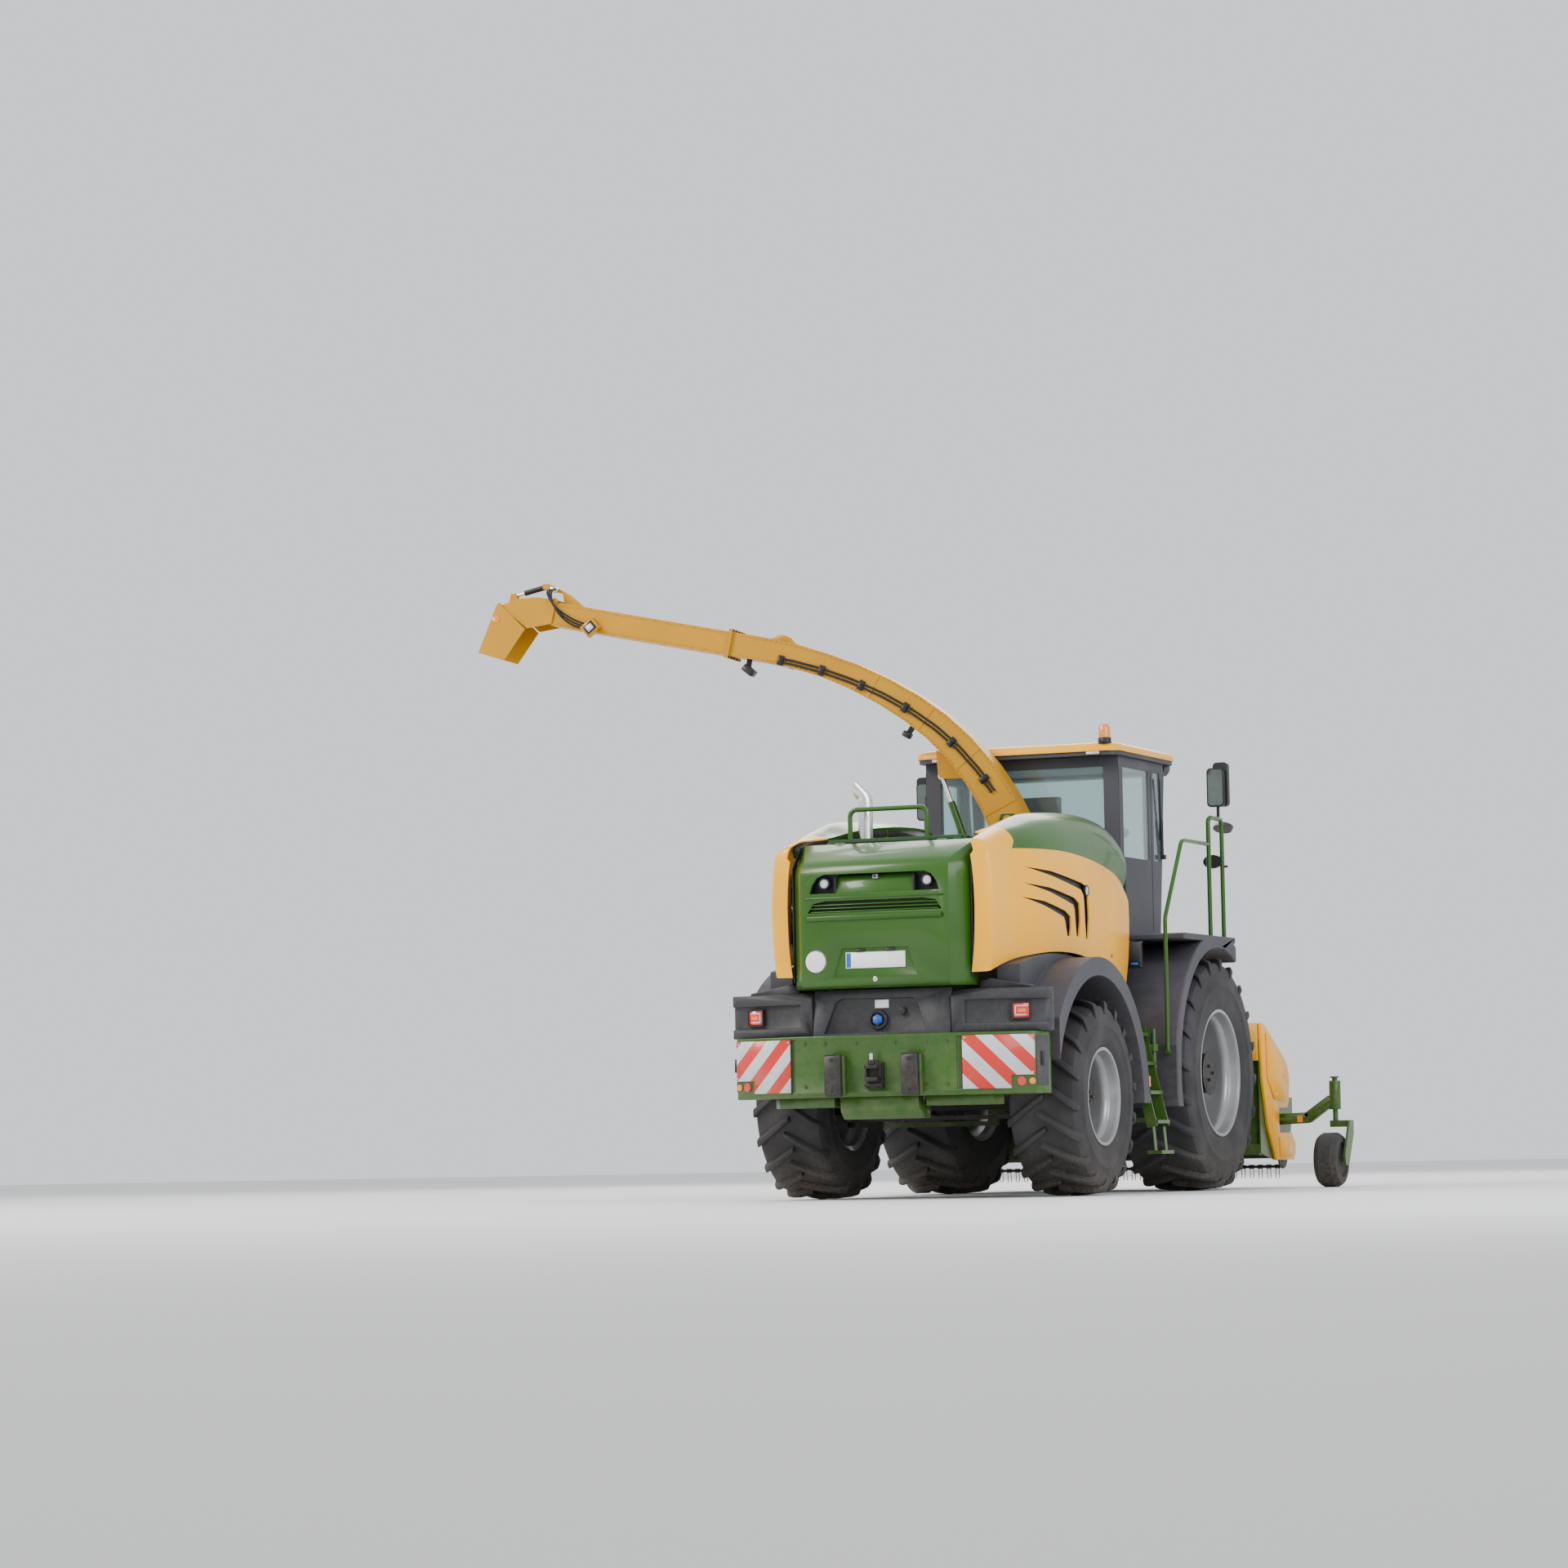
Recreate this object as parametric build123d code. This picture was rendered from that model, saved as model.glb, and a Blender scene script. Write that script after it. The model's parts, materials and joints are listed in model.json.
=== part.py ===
from build123d import *
from math import cos, hypot, radians, sin
import os

# Self-propelled forage harvester with a grass pickup, millimetres, +Z up.
# The machine faces -Y and its left-hand side is +X.
# Everything is drawn from the point on the ground below the middle of the rear axle,
# and moved by ORIGIN when it is written.

os.makedirs("parts", exist_ok=True)

# ---------------------------------------------------------------- driving sizes
ORIGIN = (1325.987, -1739.825)        # middle of the floor box, from the rear axle's ground point
RUN = 0.3                     # seat between two pieces of one body
AIR = 8                       # least room between moving pieces

WHEELBASE = 2954
FRONT_Y = -WHEELBASE
FRONT_TYRE_R, FRONT_TYRE_W, FRONT_RIM_R = 1030, 710, 534
REAR_TYRE_R, REAR_TYRE_W, REAR_RIM_R = 812, 620, 381
FRONT_TRACK_HALF = 1130
REAR_TRACK_HALF = 1125
KINGPIN_X = 790
KINGPIN_R = 32
STEER_ARM = 210

FRAME_HALF = 210              # outside of the narrow frame between the steered wheels
RAIL_W, RAIL_H = 90, 240
RAIL_Z = FRONT_TYRE_R - 20    # underside of the main rails
TUB_Z = RAIL_Z + 750          # top of the raised tub
LADDER_POST, POST_R = (1290, FRONT_Y + 1314), 22
SIDE_WALL_X = 860

BUMPER_Z0, BUMPER_Z1 = 835, 1335
BUMPER_Y = 1530               # rear face of its middle section
BUMPER_INNER_Y = 1310
BUMPER_MID_HALF = 725
BUMPER_END = (1400, 1120)     # x, y of the swept outer end
PLATE_T = 14

HOOD_Y = 1500                 # rear face of the tailgate
TAIL_HALF = 690
TAIL_Z0, TAIL_FOLD_Z, TAIL_TOP_Z = 1720, 2735, 2915
SKIN = 30
DECK_Z = 2960
DOME_IN_X = 620
FLAP_HINGE = (DOME_IN_X - 18, 3100)
FLAP_HINGES = (
    # y, height of the flap's top where the hinge arm lands
    (-300, 3146),
    (-1100, 3177),
)
TAIL_HINGE = (1104, TAIL_TOP_Z)
TAIL_HINGE_X = 450
HINGE_PIN_R, HINGE_R = 8, 12
FIT = 0.1                     # running fit of a pin in its bore
DECK_HALF = DOME_IN_X - 32
WALL_HALF = DOME_IN_X - 8
FLAP_LOW_Z = 2010             # top of the curve under the side flaps

CAB_REAR_Y, CAB_FRONT_Y = FRONT_Y + 944, FRONT_Y - 246
CAB_HALF = 900
CAB_FLOOR_Z = FRONT_TYRE_R + 1210
CAB_SILL_Z = CAB_FLOOR_Z + 680
CAB_TOP_Z = CAB_FLOOR_Z + 1560
CAB_WALL = 60
ROOF_T = 120
PLATFORM_Z = FRONT_TYRE_R + 1205
PLATFORM_IN_X, PLATFORM_OUT_X = CAB_HALF - 50, 1470
DOOR_HINGE_Y, DOOR_LATCH_Y = CAB_REAR_Y - 60, CAB_REAR_Y - 840
DOOR_PIN = (CAB_HALF + 28, DOOR_HINGE_Y + 4)
DOOR_HINGES = (CAB_FLOOR_Z + 320, CAB_FLOOR_Z + 1240)
GLASS_T = 8

TURRET_Y = CAB_REAR_Y + 360
TOWER_Z = CAB_FLOOR_Z + 590    # top of the spout tower
HOOD_FRONT_Y = TURRET_Y + 50
TURRET_R = 235
SPOUT_HALF = 165
SPOUT_ANGLE = 97              # degrees from straight ahead towards the left
SPOUT_BASE = (-45, TOWER_Z + 360)      # reach and height of the duct's centre line at its inlet
SPOUT_PIVOT = (-45, TOWER_Z + 410)
SPOUT_A0, SPOUT_A1, SPOUT_A2 = 68.3, 34.7, 11.9
SPOUT_R1, SPOUT_R2 = 2342, 3782
SPOUT_RUN = 1980
SPOUT_H0, SPOUT_H1 = 330, 210
SHEET = 12

RAIL_X = 1400
RAIL_POSTS = (FRONT_Y - 376, FRONT_Y + 4)
HEADER_HALF = 1470
HEADER_REAR_Y = FRONT_Y - 1176
LIFT_PIVOT = (FRONT_Y - 296, 930)     # y, z of the feeder's pivot
AUGER_Y, AUGER_Z, AUGER_R = HEADER_REAR_Y - 310, 610, 225
REEL_Y, REEL_Z, REEL_R = HEADER_REAR_Y - 770, 320, 240
GAUGE_X, GAUGE_Y = 1990, HEADER_REAR_Y - 520
GAUGE_R, GAUGE_W, GAUGE_TRAIL = 245, 220, 170
ROLLER_Y, ROLLER_Z, ROLLER_R = HEADER_REAR_Y - 880, 760, 85

EYE_PIN_R, EYE_HOLE_R = 9, 16
LIFT_FOOT, LIFT_EYE = (355, TOWER_Z + 155), (585, TOWER_Z + 830)
DEFLECT_IN, DEFLECT_OUT = SPOUT_HALF + 6, SPOUT_HALF + 14
FLAP_IN, FLAP_OUT = DEFLECT_OUT + 6, DEFLECT_OUT + 14
DEFLECT_PIVOT = (4075, TOWER_Z + 2532)  # reach and height of the first flap's hinge
DEFLECT_FOOT, DEFLECT_EYE = (4215, TOWER_Z + 2680), (4520, TOWER_Z + 2610)
FLAP_PIVOT = (4600, TOWER_Z + 2515)


# ---------------------------------------------------------------- small helpers
def block(x0, x1, y0, y1, z0, z1):
    return Pos((x0 + x1) / 2, (y0 + y1) / 2, (z0 + z1) / 2) * Box(abs(x1 - x0), abs(y1 - y0), abs(z1 - z0))


def slab_x(points, x0, x1):
    """A (y, z) outline, thick from x0 to x1."""
    face = make_face(Polyline(*points, close=True))
    return Pos(x0, 0, 0) * extrude(Plane.YZ * face, x1 - x0)


def slab_y(points, y0, y1):
    """An (x, z) outline, thick from y0 to y1."""
    face = make_face(Polyline(*points, close=True))
    return Pos(0, y0, 0) * extrude(Plane.XZ * face, -(y1 - y0))


def slab_z(points, z0, z1):
    """An (x, y) outline, thick from z0 to z1."""
    face = make_face(Polyline(*points, close=True))
    return Pos(0, 0, z0) * extrude(face, z1 - z0)


def rod(a, b, radius):
    a, b = Vector(*a), Vector(*b)
    return extrude(Plane(origin=a, z_dir=b - a) * Circle(radius), (b - a).length)


def disc_x(x0, x1, y, z, radius):
    return rod((x0, y, z), (x1, y, z), radius)


def disc_y(x, y0, y1, z, radius):
    return rod((x, y0, z), (x, y1, z), radius)


def disc_z(x, y, z0, z1, radius):
    return rod((x, y, z0), (x, y, z1), radius)


def bent_tube(points, radius, bend):
    path = FilletPolyline(*points, radius=bend)
    return sweep(Plane(origin=path @ 0, z_dir=path % 0) * Circle(radius), path=path)


def bar(a, b, w, h):
    """A rectangular bar from a to b, w across and h high."""
    a, b = Vector(*a), Vector(*b)
    side = Vector(0, 0, 1).cross(b - a) if abs((b - a).Z) < 0.99 * (b - a).length else Vector(1, 0, 0)
    return extrude(Plane(origin=a, x_dir=side, z_dir=b - a) * Rectangle(w, h), (b - a).length)


def mirrored(shape):
    return mirror(shape, about=Plane.YZ)


def both(shape):
    return [shape, mirrored(shape)]


def turned_x(points, x, y, z):
    """Revolve a (radius, x) outline about the X axis through (y, z)."""
    face = make_face(Polyline(*[(across, r) for r, across in points], close=True))
    return Pos(x, y, z) * revolve(face, Axis.X)


def solids_of(shape):
    if isinstance(shape, (list, tuple)):
        return [solid for item in shape for solid in solids_of(item)]
    return list(shape.solids())


def save(name, shape):
    moved = [Pos(-ORIGIN[0], -ORIGIN[1], 0) * solid for solid in solids_of(shape)]
    piece = moved[0] if len(moved) == 1 else Compound(children=moved)
    export_step(piece, f"parts/{name}.step")


# ---------------------------------------------------------------- wheels
def tyre(radius, width, rim_r, x, y):
    half = width / 2
    bead = half - 45
    outline = [
        (rim_r + RUN, -bead), (rim_r + 60, -bead - 8), (rim_r + 0.45 * (radius - rim_r), -half),
        (radius - 85, -half + 12), (radius - 22, -half + 42), (radius, -half + 150),
        (radius, half - 150), (radius - 22, half - 42), (radius - 85, half - 12),
        (rim_r + 0.45 * (radius - rim_r), half), (rim_r + 60, bead + 8), (rim_r + RUN, bead),
        (rim_r + RUN, bead - 60), (rim_r + 120, bead - 70), (rim_r + 120, 70 - bead), (rim_r + RUN, 60 - bead),
    ]
    return turned_x(outline, x, y, radius)


def rim(radius, rim_r, width, disc_at, hub_r, hub_out, hub_in, x, y, side):
    """One pressed rim: flanges, stepped barrel, dished disc and the hub; side is +1 on the left."""
    half = width / 2 - 45
    out = half + 21
    profile = [
        (rim_r + 26, out), (rim_r + 26, out - 12), (rim_r, half), (rim_r, half - 70),
        (rim_r - 40, half - 110), (rim_r - 40, -half + 110), (rim_r, -half + 70), (rim_r, -half),
        (rim_r + 26, -out + 12), (rim_r + 26, -out), (rim_r - 14, -half), (rim_r - 14, -half + 62),
        (rim_r - 54, -half + 102), (rim_r - 54, disc_at - 60), (hub_r + 110, disc_at - 14), (hub_r, disc_at - 14),
        (hub_r, hub_in), (0, hub_in), (0, hub_out), (hub_r - 40, hub_out), (hub_r - 25, hub_out - 25),
        (hub_r - 25, disc_at), (hub_r + 115, disc_at), (rim_r - 54, disc_at - 44), (rim_r - 54, half - 102),
        (rim_r - 14, half - 62), (rim_r - 14, half),
    ]
    return turned_x([(r, side * across) for r, across in profile], x, y, radius)


def wheels():
    for side, hand in ((1, "left"), (-1, "right")):
        x = side * FRONT_TRACK_HALF
        save(f"tyre_front_{hand}", tyre(FRONT_TYRE_R, FRONT_TYRE_W, FRONT_RIM_R, x, FRONT_Y))
        save(f"rim_front_{hand}", rim(FRONT_TYRE_R, FRONT_RIM_R, FRONT_TYRE_W, 40, 215, 225, -150,
                                      x, FRONT_Y, side))
        x = side * REAR_TRACK_HALF
        save(f"tyre_rear_{hand}", tyre(REAR_TYRE_R, REAR_TYRE_W, REAR_RIM_R, x, 0))
        save(f"rim_rear_{hand}", rim(REAR_TYRE_R, REAR_RIM_R, REAR_TYRE_W, 30, 150, 150, -60, x, 0, side))


# ---------------------------------------------------------------- running gear
FRONT_HUB_FACE = FRONT_TRACK_HALF - 150 - RUN
REAR_HUB_FACE = REAR_TRACK_HALF - 60 - RUN


def front_axle():
    beam = block(-560, 560, FRONT_Y - 150, FRONT_Y + 150, FRONT_TYRE_R - 160, FRONT_TYRE_R + 160)
    for side in (1, -1):
        beam += disc_x(side * 540, side * FRONT_HUB_FACE, FRONT_Y, FRONT_TYRE_R, 175)
        beam += disc_x(side * 540, side * 600, FRONT_Y, FRONT_TYRE_R, 230)
    return beam


def rear_axle_beam():
    z = REAR_TYRE_R
    beam = bar((-KINGPIN_X + 150, 0, z), (KINGPIN_X - 150, 0, z), 150, 170)
    for side in (1, -1):
        x = side * KINGPIN_X
        fork = disc_z(x, 0, z - 215, z + 215, 85) + block(x - side * 20, x - side * 190, -75, 75, z - 215, z + 215)
        fork -= block(x - side * 120, x + side * 100, -100, 100, z - 150 - AIR, z + 150 + AIR)
        beam += fork
        beam -= disc_z(x, 0, z - 220, z + 220, KINGPIN_R + 0.1)
    beam += block(-90, 90, -170, 170, z + 60, RAIL_Z - RUN)
    return beam


def knuckle(side):
    z = REAR_TYRE_R
    x = side * KINGPIN_X
    body = disc_z(x, 0, z - 150, z + 150, 80)
    body += disc_z(x, 0, z - 214, z + 214, KINGPIN_R)
    body += disc_x(x, side * REAR_HUB_FACE, 0, z, 105)
    body += bar((x, 0, z - 100), (x, STEER_ARM, z - 100), 90, 50)
    body += disc_z(x, STEER_ARM, z - 125, z - 75, 45)
    body += disc_z(x, STEER_ARM, z - 160, z - 75, 16)
    return body


def tie_rod():
    z = REAR_TYRE_R - 150
    body = bar((-KINGPIN_X + 30, STEER_ARM, z), (KINGPIN_X - 30, STEER_ARM, z), 44, 36)
    for side in (1, -1):
        body += disc_z(side * KINGPIN_X, STEER_ARM, z - 18, z + 18, 40)
    for side in (1, -1):
        body -= disc_z(side * KINGPIN_X, STEER_ARM, z - 30, z + 30, 16.1)
    return body


def main_frame():
    """Narrow rails, raised tub over the steered wheels, cab floor, spout tower and crop channel."""
    frame = None
    for side in (1, -1):
        rail = block(side * (FRAME_HALF - RAIL_W), side * FRAME_HALF, FRONT_Y - 126, BUMPER_INNER_Y - RUN, RAIL_Z, RAIL_Z + RAIL_H)
        frame = rail if frame is None else frame + rail
    for y0, y1 in ((1180, BUMPER_INNER_Y - RUN), (-170, 170), (-1250, -1100), (FRONT_Y - 126, FRONT_Y + 104)):
        frame += block(-FRAME_HALF, FRAME_HALF, y0, y1, RAIL_Z, RAIL_Z + RAIL_H)
    frame += block(-700, 700, 1180, BUMPER_INNER_Y - RUN, RAIL_Z, RAIL_Z + 120)
    frame += block(-560, 560, TURRET_Y + 150, 1150, TUB_Z - 70, TUB_Z)
    for y0, y1 in ((1040, 1150), (-1200, -1080)):
        frame += block(-FRAME_HALF, FRAME_HALF, y0, y1, RAIL_Z + RAIL_H - 1, TUB_Z - 60)
    frame += block(-700, 700, CAB_FRONT_Y + 60, TURRET_Y + 30, CAB_FLOOR_Z - 90, CAB_FLOOR_Z - RUN)
    frame += block(-560, 560, TURRET_Y + 25, TURRET_Y + 210, CAB_FLOOR_Z - 90, CAB_FLOOR_Z - RUN)
    for y0, y1 in ((TURRET_Y + 30, TURRET_Y + 150), (CAB_FRONT_Y + 60, CAB_FRONT_Y + 180)):
        frame += block(-300, 300, y0, y1, RAIL_Z + RAIL_H - 20, CAB_FLOOR_Z - 80)
    frame += block(-560, 560, TURRET_Y + 90, TURRET_Y + 210, TUB_Z - 70, CAB_FLOOR_Z - 80)
    frame += block(-TURRET_R, TURRET_R, TURRET_Y - TURRET_R, TURRET_Y + TURRET_R, CAB_FLOOR_Z - 40, TOWER_Z)
    frame += block(-380, 380, FRONT_Y - 146, FRONT_Y + 954, 700, 1300)
    for side in (1, -1):
        ear = slab_x([(FRONT_Y + 254, 1000), (FRONT_Y + 254, 1240), (FRONT_Y - 126, 1240), (LIFT_PIVOT[0] - 55, 1000),
                      (LIFT_PIVOT[0] - 55, 860), (FRONT_Y - 166, 860)], side * 380, side * 410)
        ear -= disc_x(side * 370, side * 420, LIFT_PIVOT[0], LIFT_PIVOT[1], 28.1)
        frame += ear
        frame += block(side * 550, side * (SIDE_WALL_X - RUN), TURRET_Y + 90, TURRET_Y + 210, TUB_Z - 140, TUB_Z - 65)
        frame += block(side * 690, side * (PLATFORM_IN_X - RUN), FRONT_Y + 204, FRONT_Y + 604, CAB_FLOOR_Z - 60, CAB_FLOOR_Z - 10)
        for y0, y1 in ((840, 900), (-900, -840)):
            frame += block(side * 550, side * (900 - RUN), y0, y1, TUB_Z - 60, TUB_Z)
        for z in (620, 1380):
            frame += bar((side * 200, LADDER_POST[1], z), (side * LADDER_POST[0], LADDER_POST[1], z), 60, 40)
        frame += disc_z(side * LADDER_POST[0], LADDER_POST[1], 600, 1400, POST_R)
        frame += block(side * 150, side * 210, LADDER_POST[1] - 30, LADDER_POST[1] + 30, 600, RAIL_Z + 20)
        frame += block(side * 150, side * 210, LADDER_POST[1] - 30, LADDER_POST[1] + 30, RAIL_Z + 200, 1400)
    return frame - block(-600, 600, FRONT_Y - 150 - RUN, FRONT_Y + 150 + RUN, 600, FRONT_TYRE_R + 160 + RUN)


def engine_block():
    return block(-430, 430, -700, 1000, TUB_Z + RUN, 2650)


# ---------------------------------------------------------------- rear body
def rear_panels():
    """Dark lower rear body: centre piece and two lamp housings above the bumper."""
    z0, z1 = BUMPER_Z1 + RUN, TAIL_Z0 - 12
    centre = slab_x([(1320, z0), (1400, z0), (1345, z1), (1320, z1)], -560, 560)
    centre += block(-560, 560, 1200, 1330, z1 - 40, z1)
    centre -= slab_x([(1330, z0 + 40), (1500, z0 + 40), (1500, z1 - 70), (1330, z1 - 70)], -330, 330)
    side = slab_z([(570, 1320), (570, 1390), (640, 1385), (1380, 1230), (1395, 1120), (1340, 1110)], z0, z1 - 40)
    side += block(570, 1330, 1110, 1200, z1 - 90, z1 - 41)
    side = side - slab_x([(1190, z1 + 10), (1500, z1 - 190), (1500, z1 + 10)], 560, 1500)
    return [centre] + both(side)


def bumper_outline(gap, end_x):
    slope = (BUMPER_Y - BUMPER_END[1]) / (BUMPER_END[0] - BUMPER_MID_HALF)
    end_y = BUMPER_Y - slope * (end_x - BUMPER_MID_HALF)
    return [(-end_x, end_y - gap), (-BUMPER_MID_HALF, BUMPER_Y - gap), (BUMPER_MID_HALF, BUMPER_Y - gap),
            (end_x, end_y - gap)]


def ballast_bumper():
    rear = bumper_outline(0, BUMPER_END[0])
    body = slab_z(rear + [(1390, 1010), (1250, 1010), (710, BUMPER_INNER_Y), (-710, BUMPER_INNER_Y), (-1250, 1010), (-1390, 1010)],
                  BUMPER_Z0, BUMPER_Z1)
    under = slab_z([(-340, 1200), (-340, 1470), (340, 1470), (340, 1200)], BUMPER_Z0 - 180, BUMPER_Z0)
    wings = [slab_z([(420, 1150), (420, 1440), (900, 1330), (900, 1180)], BUMPER_Z0 - 70, BUMPER_Z0)]
    body += under
    for wing in wings:
        body += wing
        body += mirrored(wing)
    for side in (1, -1):
        body += block(side * 250, side * 300, BUMPER_Y - 5, BUMPER_Y + 60, 930, 1240)
    return body


def warning_plates():
    slope = (BUMPER_Y - BUMPER_END[1]) / (BUMPER_END[0] - BUMPER_MID_HALF)
    def face_y(x):
        return BUMPER_Y - slope * (x - BUMPER_MID_HALF)
    plate = slab_z([(745, face_y(745) + RUN), (1345, face_y(1345) + RUN),
                    (1345, face_y(1345) + RUN + PLATE_T), (745, face_y(745) + RUN + PLATE_T)], 860, 1310)
    return both(plate)


def tow_hitch():
    """Jaw with its pin raised in the guide, bolted to the bumper, and the two rubber buffers."""
    y = BUMPER_Y + RUN
    jaw = block(-75, 75, y, y + 40, 930, 1160)
    jaw += block(-55, 55, y + 40, y + 130, 960, 990) + block(-55, 55, y + 40, y + 130, 1060, 1090)
    jaw -= disc_z(0, y + 90, 950, 1100, 20)
    jaw += block(-30, 30, y + 40, y + 125, 1135, 1155) + disc_z(0, y + 90, 1120, 1235, 19)
    buffer = block(225, 325, BUMPER_Y + 60 + RUN, BUMPER_Y + 130, 905, 1265)
    return [jaw] + both(buffer)


# ---------------------------------------------------------------- hood
def tailgate():
    """Rear hood door: flat back, sloped top and chamfered sides, hollow towards the engine."""
    outer = slab_x([(HOOD_Y, TAIL_Z0 + 40), (HOOD_Y - 40, TAIL_Z0), (1180, TAIL_Z0), (1110, TAIL_TOP_Z),
                    (HOOD_Y - 40, TAIL_FOLD_Z), (HOOD_Y, TAIL_FOLD_Z - 60)], -TAIL_HALF, TAIL_HALF)
    inner = slab_x([(HOOD_Y - SKIN, TAIL_Z0 + 60), (HOOD_Y - 60, TAIL_Z0 + SKIN), (1000, TAIL_Z0 + SKIN),
                    (1000, TAIL_TOP_Z - SKIN), (1110, TAIL_TOP_Z - SKIN), (HOOD_Y - 50, TAIL_FOLD_Z - SKIN),
                    (HOOD_Y - SKIN, TAIL_FOLD_Z - 80)], -TAIL_HALF + SKIN, TAIL_HALF - SKIN)
    cut = slab_z([(560, 1600), (TAIL_HALF + 10, 1180), (TAIL_HALF + 10, 1600)], TAIL_Z0 - 10, TAIL_TOP_Z + 10)
    cut_in = Pos(-SKIN, -SKIN, 0) * cut
    door = outer - cut - mirrored(cut) - (inner - cut_in - mirrored(cut_in))
    y, z = TAIL_HINGE
    for x in (-TAIL_HINGE_X, TAIL_HINGE_X):
        door -= block(x - 20, x + 20, y - 30, y + 22, z - 60, z + 10)
        door += disc_x(x - 42, x - 20, y, z, HINGE_R) + disc_x(x + 20, x + 42, y, z, HINGE_R)
        door += disc_x(x - 22, x + 22, y, z, HINGE_PIN_R)
    return door


def belly(gap):
    """The long shallow curve along the flaps' lower edge, over the wheel arch."""
    return Pos(0, 150, FLAP_LOW_Z - 4000) * Rot(0, 90, 0) * Cylinder(4000 - gap, 4000)


FLAP_STATIONS = (
    # y, half width, belt height, belt's step inwards, shoulder (x, z), crest (x, z), height of the inner edge
    (1095, 905, 2815, 36, (880, 2890), (790, 2935), 2915),
    (650, 1080, 2844, 46, (985, 3005), (800, 3078), 3010),
    (0, 1160, 2846, 46, (1035, 3080), (820, 3182), 3105),
    (-800, 1170, 2785, 42, (1062, 3080), (820, 3218), 3165),
    (-1200, 1150, 2730, 28, (1070, 3030), (830, 3205), 3172),
    (HOOD_FRONT_Y, 1102, 2625, 12, (1064, 2895), (830, 3108), 3100),
)
FLAP_ROOT_Z = 1750            # where the flap's outline starts, under the belly's cut


def flap_solid(shrink):
    """The flap filled solid, every outer face drawn in by shrink."""
    sections = []
    for y, half, belt, step, (shoulder_x, shoulder_z), (crest_x, crest_z), inner in FLAP_STATIONS:
        ring = [
            (half - 50 - shrink, FLAP_ROOT_Z), (half - shrink, FLAP_LOW_Z + 290), (half - step - shrink, belt),
            (shoulder_x - 0.8 * shrink, shoulder_z - 0.5 * shrink), (crest_x, crest_z - shrink),
            (DOME_IN_X, inner - shrink), (DOME_IN_X, FLAP_ROOT_Z),
        ]
        sections.append(Pos(0, y, 0) * (Plane.XZ * make_face(Polyline(*ring, close=True))))
    return loft(sections, ruled=True)


def side_flap():
    skin = flap_solid(0)
    inside = flap_solid(SKIN)
    inside = inside - block(0, 2000, 1095 - SKIN, 1300, 1000, 3500) - block(0, 2000, HOOD_FRONT_Y - 400, HOOD_FRONT_Y + SKIN, 1000, 3500)
    inside += block(0, DOME_IN_X + 60, HOOD_FRONT_Y - 100, 1300, 1000, 3500)
    skin -= block(0, DOME_IN_X + SKIN, 1300, HOOD_FRONT_Y - 100, 1000, 2840)
    shell = skin - inside - belly(0)
    x, z = FLAP_HINGE
    for y, land in FLAP_HINGES:
        arm = [(x, z + HINGE_R), (x + 10, z + HINGE_R), (x + 90, land + 6), (x + 90, land - 22),
               (x + 8, z - HINGE_R), (x, z - HINGE_R)]
        for y0, y1 in ((y - 42, y - 20), (y + 20, y + 42)):
            shell += slab_y(arm, y0, y1) + disc_y(x, y0, y1, z, HINGE_R)
        shell += disc_y(x, y - 22, y + 22, z, HINGE_PIN_R)
    return shell


def top_deck():
    """Slatted intake deck between the two domes, on two runners."""
    half = DECK_HALF
    slats = None
    for i in range(17):
        y = 1020 - i * 135
        slat = block(-half, half, y - 50, y, DECK_Z - 30, DECK_Z)
        slats = slat if slats is None else slats + slat
    for side in (1, -1):
        slats += block(side * (half - 60), side * half, HOOD_FRONT_Y + 400, 1060, DECK_Z - 90, DECK_Z - 25)
    return slats - disc_z(440, 560, DECK_Z - 200, DECK_Z + 10, 75)


def hood_walls():
    """Inner posts and cross walls that carry the deck and the flaps."""
    half = WALL_HALF
    deck_seat = DECK_Z - 90 - RUN
    walls = block(-half, half, 1060, 1100, TUB_Z + RUN, deck_seat)
    walls += block(-half, half, HOOD_FRONT_Y + 260, HOOD_FRONT_Y + 300, TUB_Z + RUN, deck_seat)
    for side in (1, -1):
        walls += block(side * (half - 90), side * half, HOOD_FRONT_Y + 260, 1100, DECK_Z - 150, deck_seat)
        y, z = TAIL_HINGE
        x = side * TAIL_HINGE_X
        lug = slab_x([(1062, deck_seat - 20), (1100, deck_seat - 20), (y + HINGE_R, z), (y, z + HINGE_R), (1070, z - 20)],
                     x - 12, x + 12) + disc_x(x - 12, x + 12, y, z, HINGE_R)
        walls += lug - disc_x(x - 20, x + 20, y, z, HINGE_PIN_R + FIT)
        x, z = FLAP_HINGE
        for y, land in FLAP_HINGES:
            lug = block(side * (x - 11), side * (x + 9), y - 12, y + 12, deck_seat - 20, z)
            lug += disc_y(side * x, y - 12, y + 12, z, HINGE_R)
            walls += lug - disc_y(side * x, y - 20, y + 20, z, HINGE_PIN_R + FIT)
    return walls


def exhaust():
    x, y = 440, 560
    pipe = bent_tube([(x, y, 2650 + RUN), (x, y, 3330), (x + 90, y + 40, 3440)], 60, 100)
    bore = Plane(origin=(x + 90, y + 40, 3440), z_dir=(90, 40, 110)) * Cylinder(50, 160)
    return pipe - bore


# ---------------------------------------------------------------- fenders
def rear_fender():
    """Left arch over the steered wheel, with the apron that meets the flap above it."""
    z = REAR_TYRE_R - 62
    arch = Pos(1150, 0, z) * Rot(0, 90, 0) * Cylinder(1060, 700)
    band = Pos(1150, 0, z) * Rot(0, 90, 0) * Cylinder(1215, 490)
    band = band & block(900, 1400, -1240, 1000, 760, 2000)
    apron = block(900, 1100, -1250, 1095, 1345, 2100) & belly(12)
    return band + apron - arch


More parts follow.
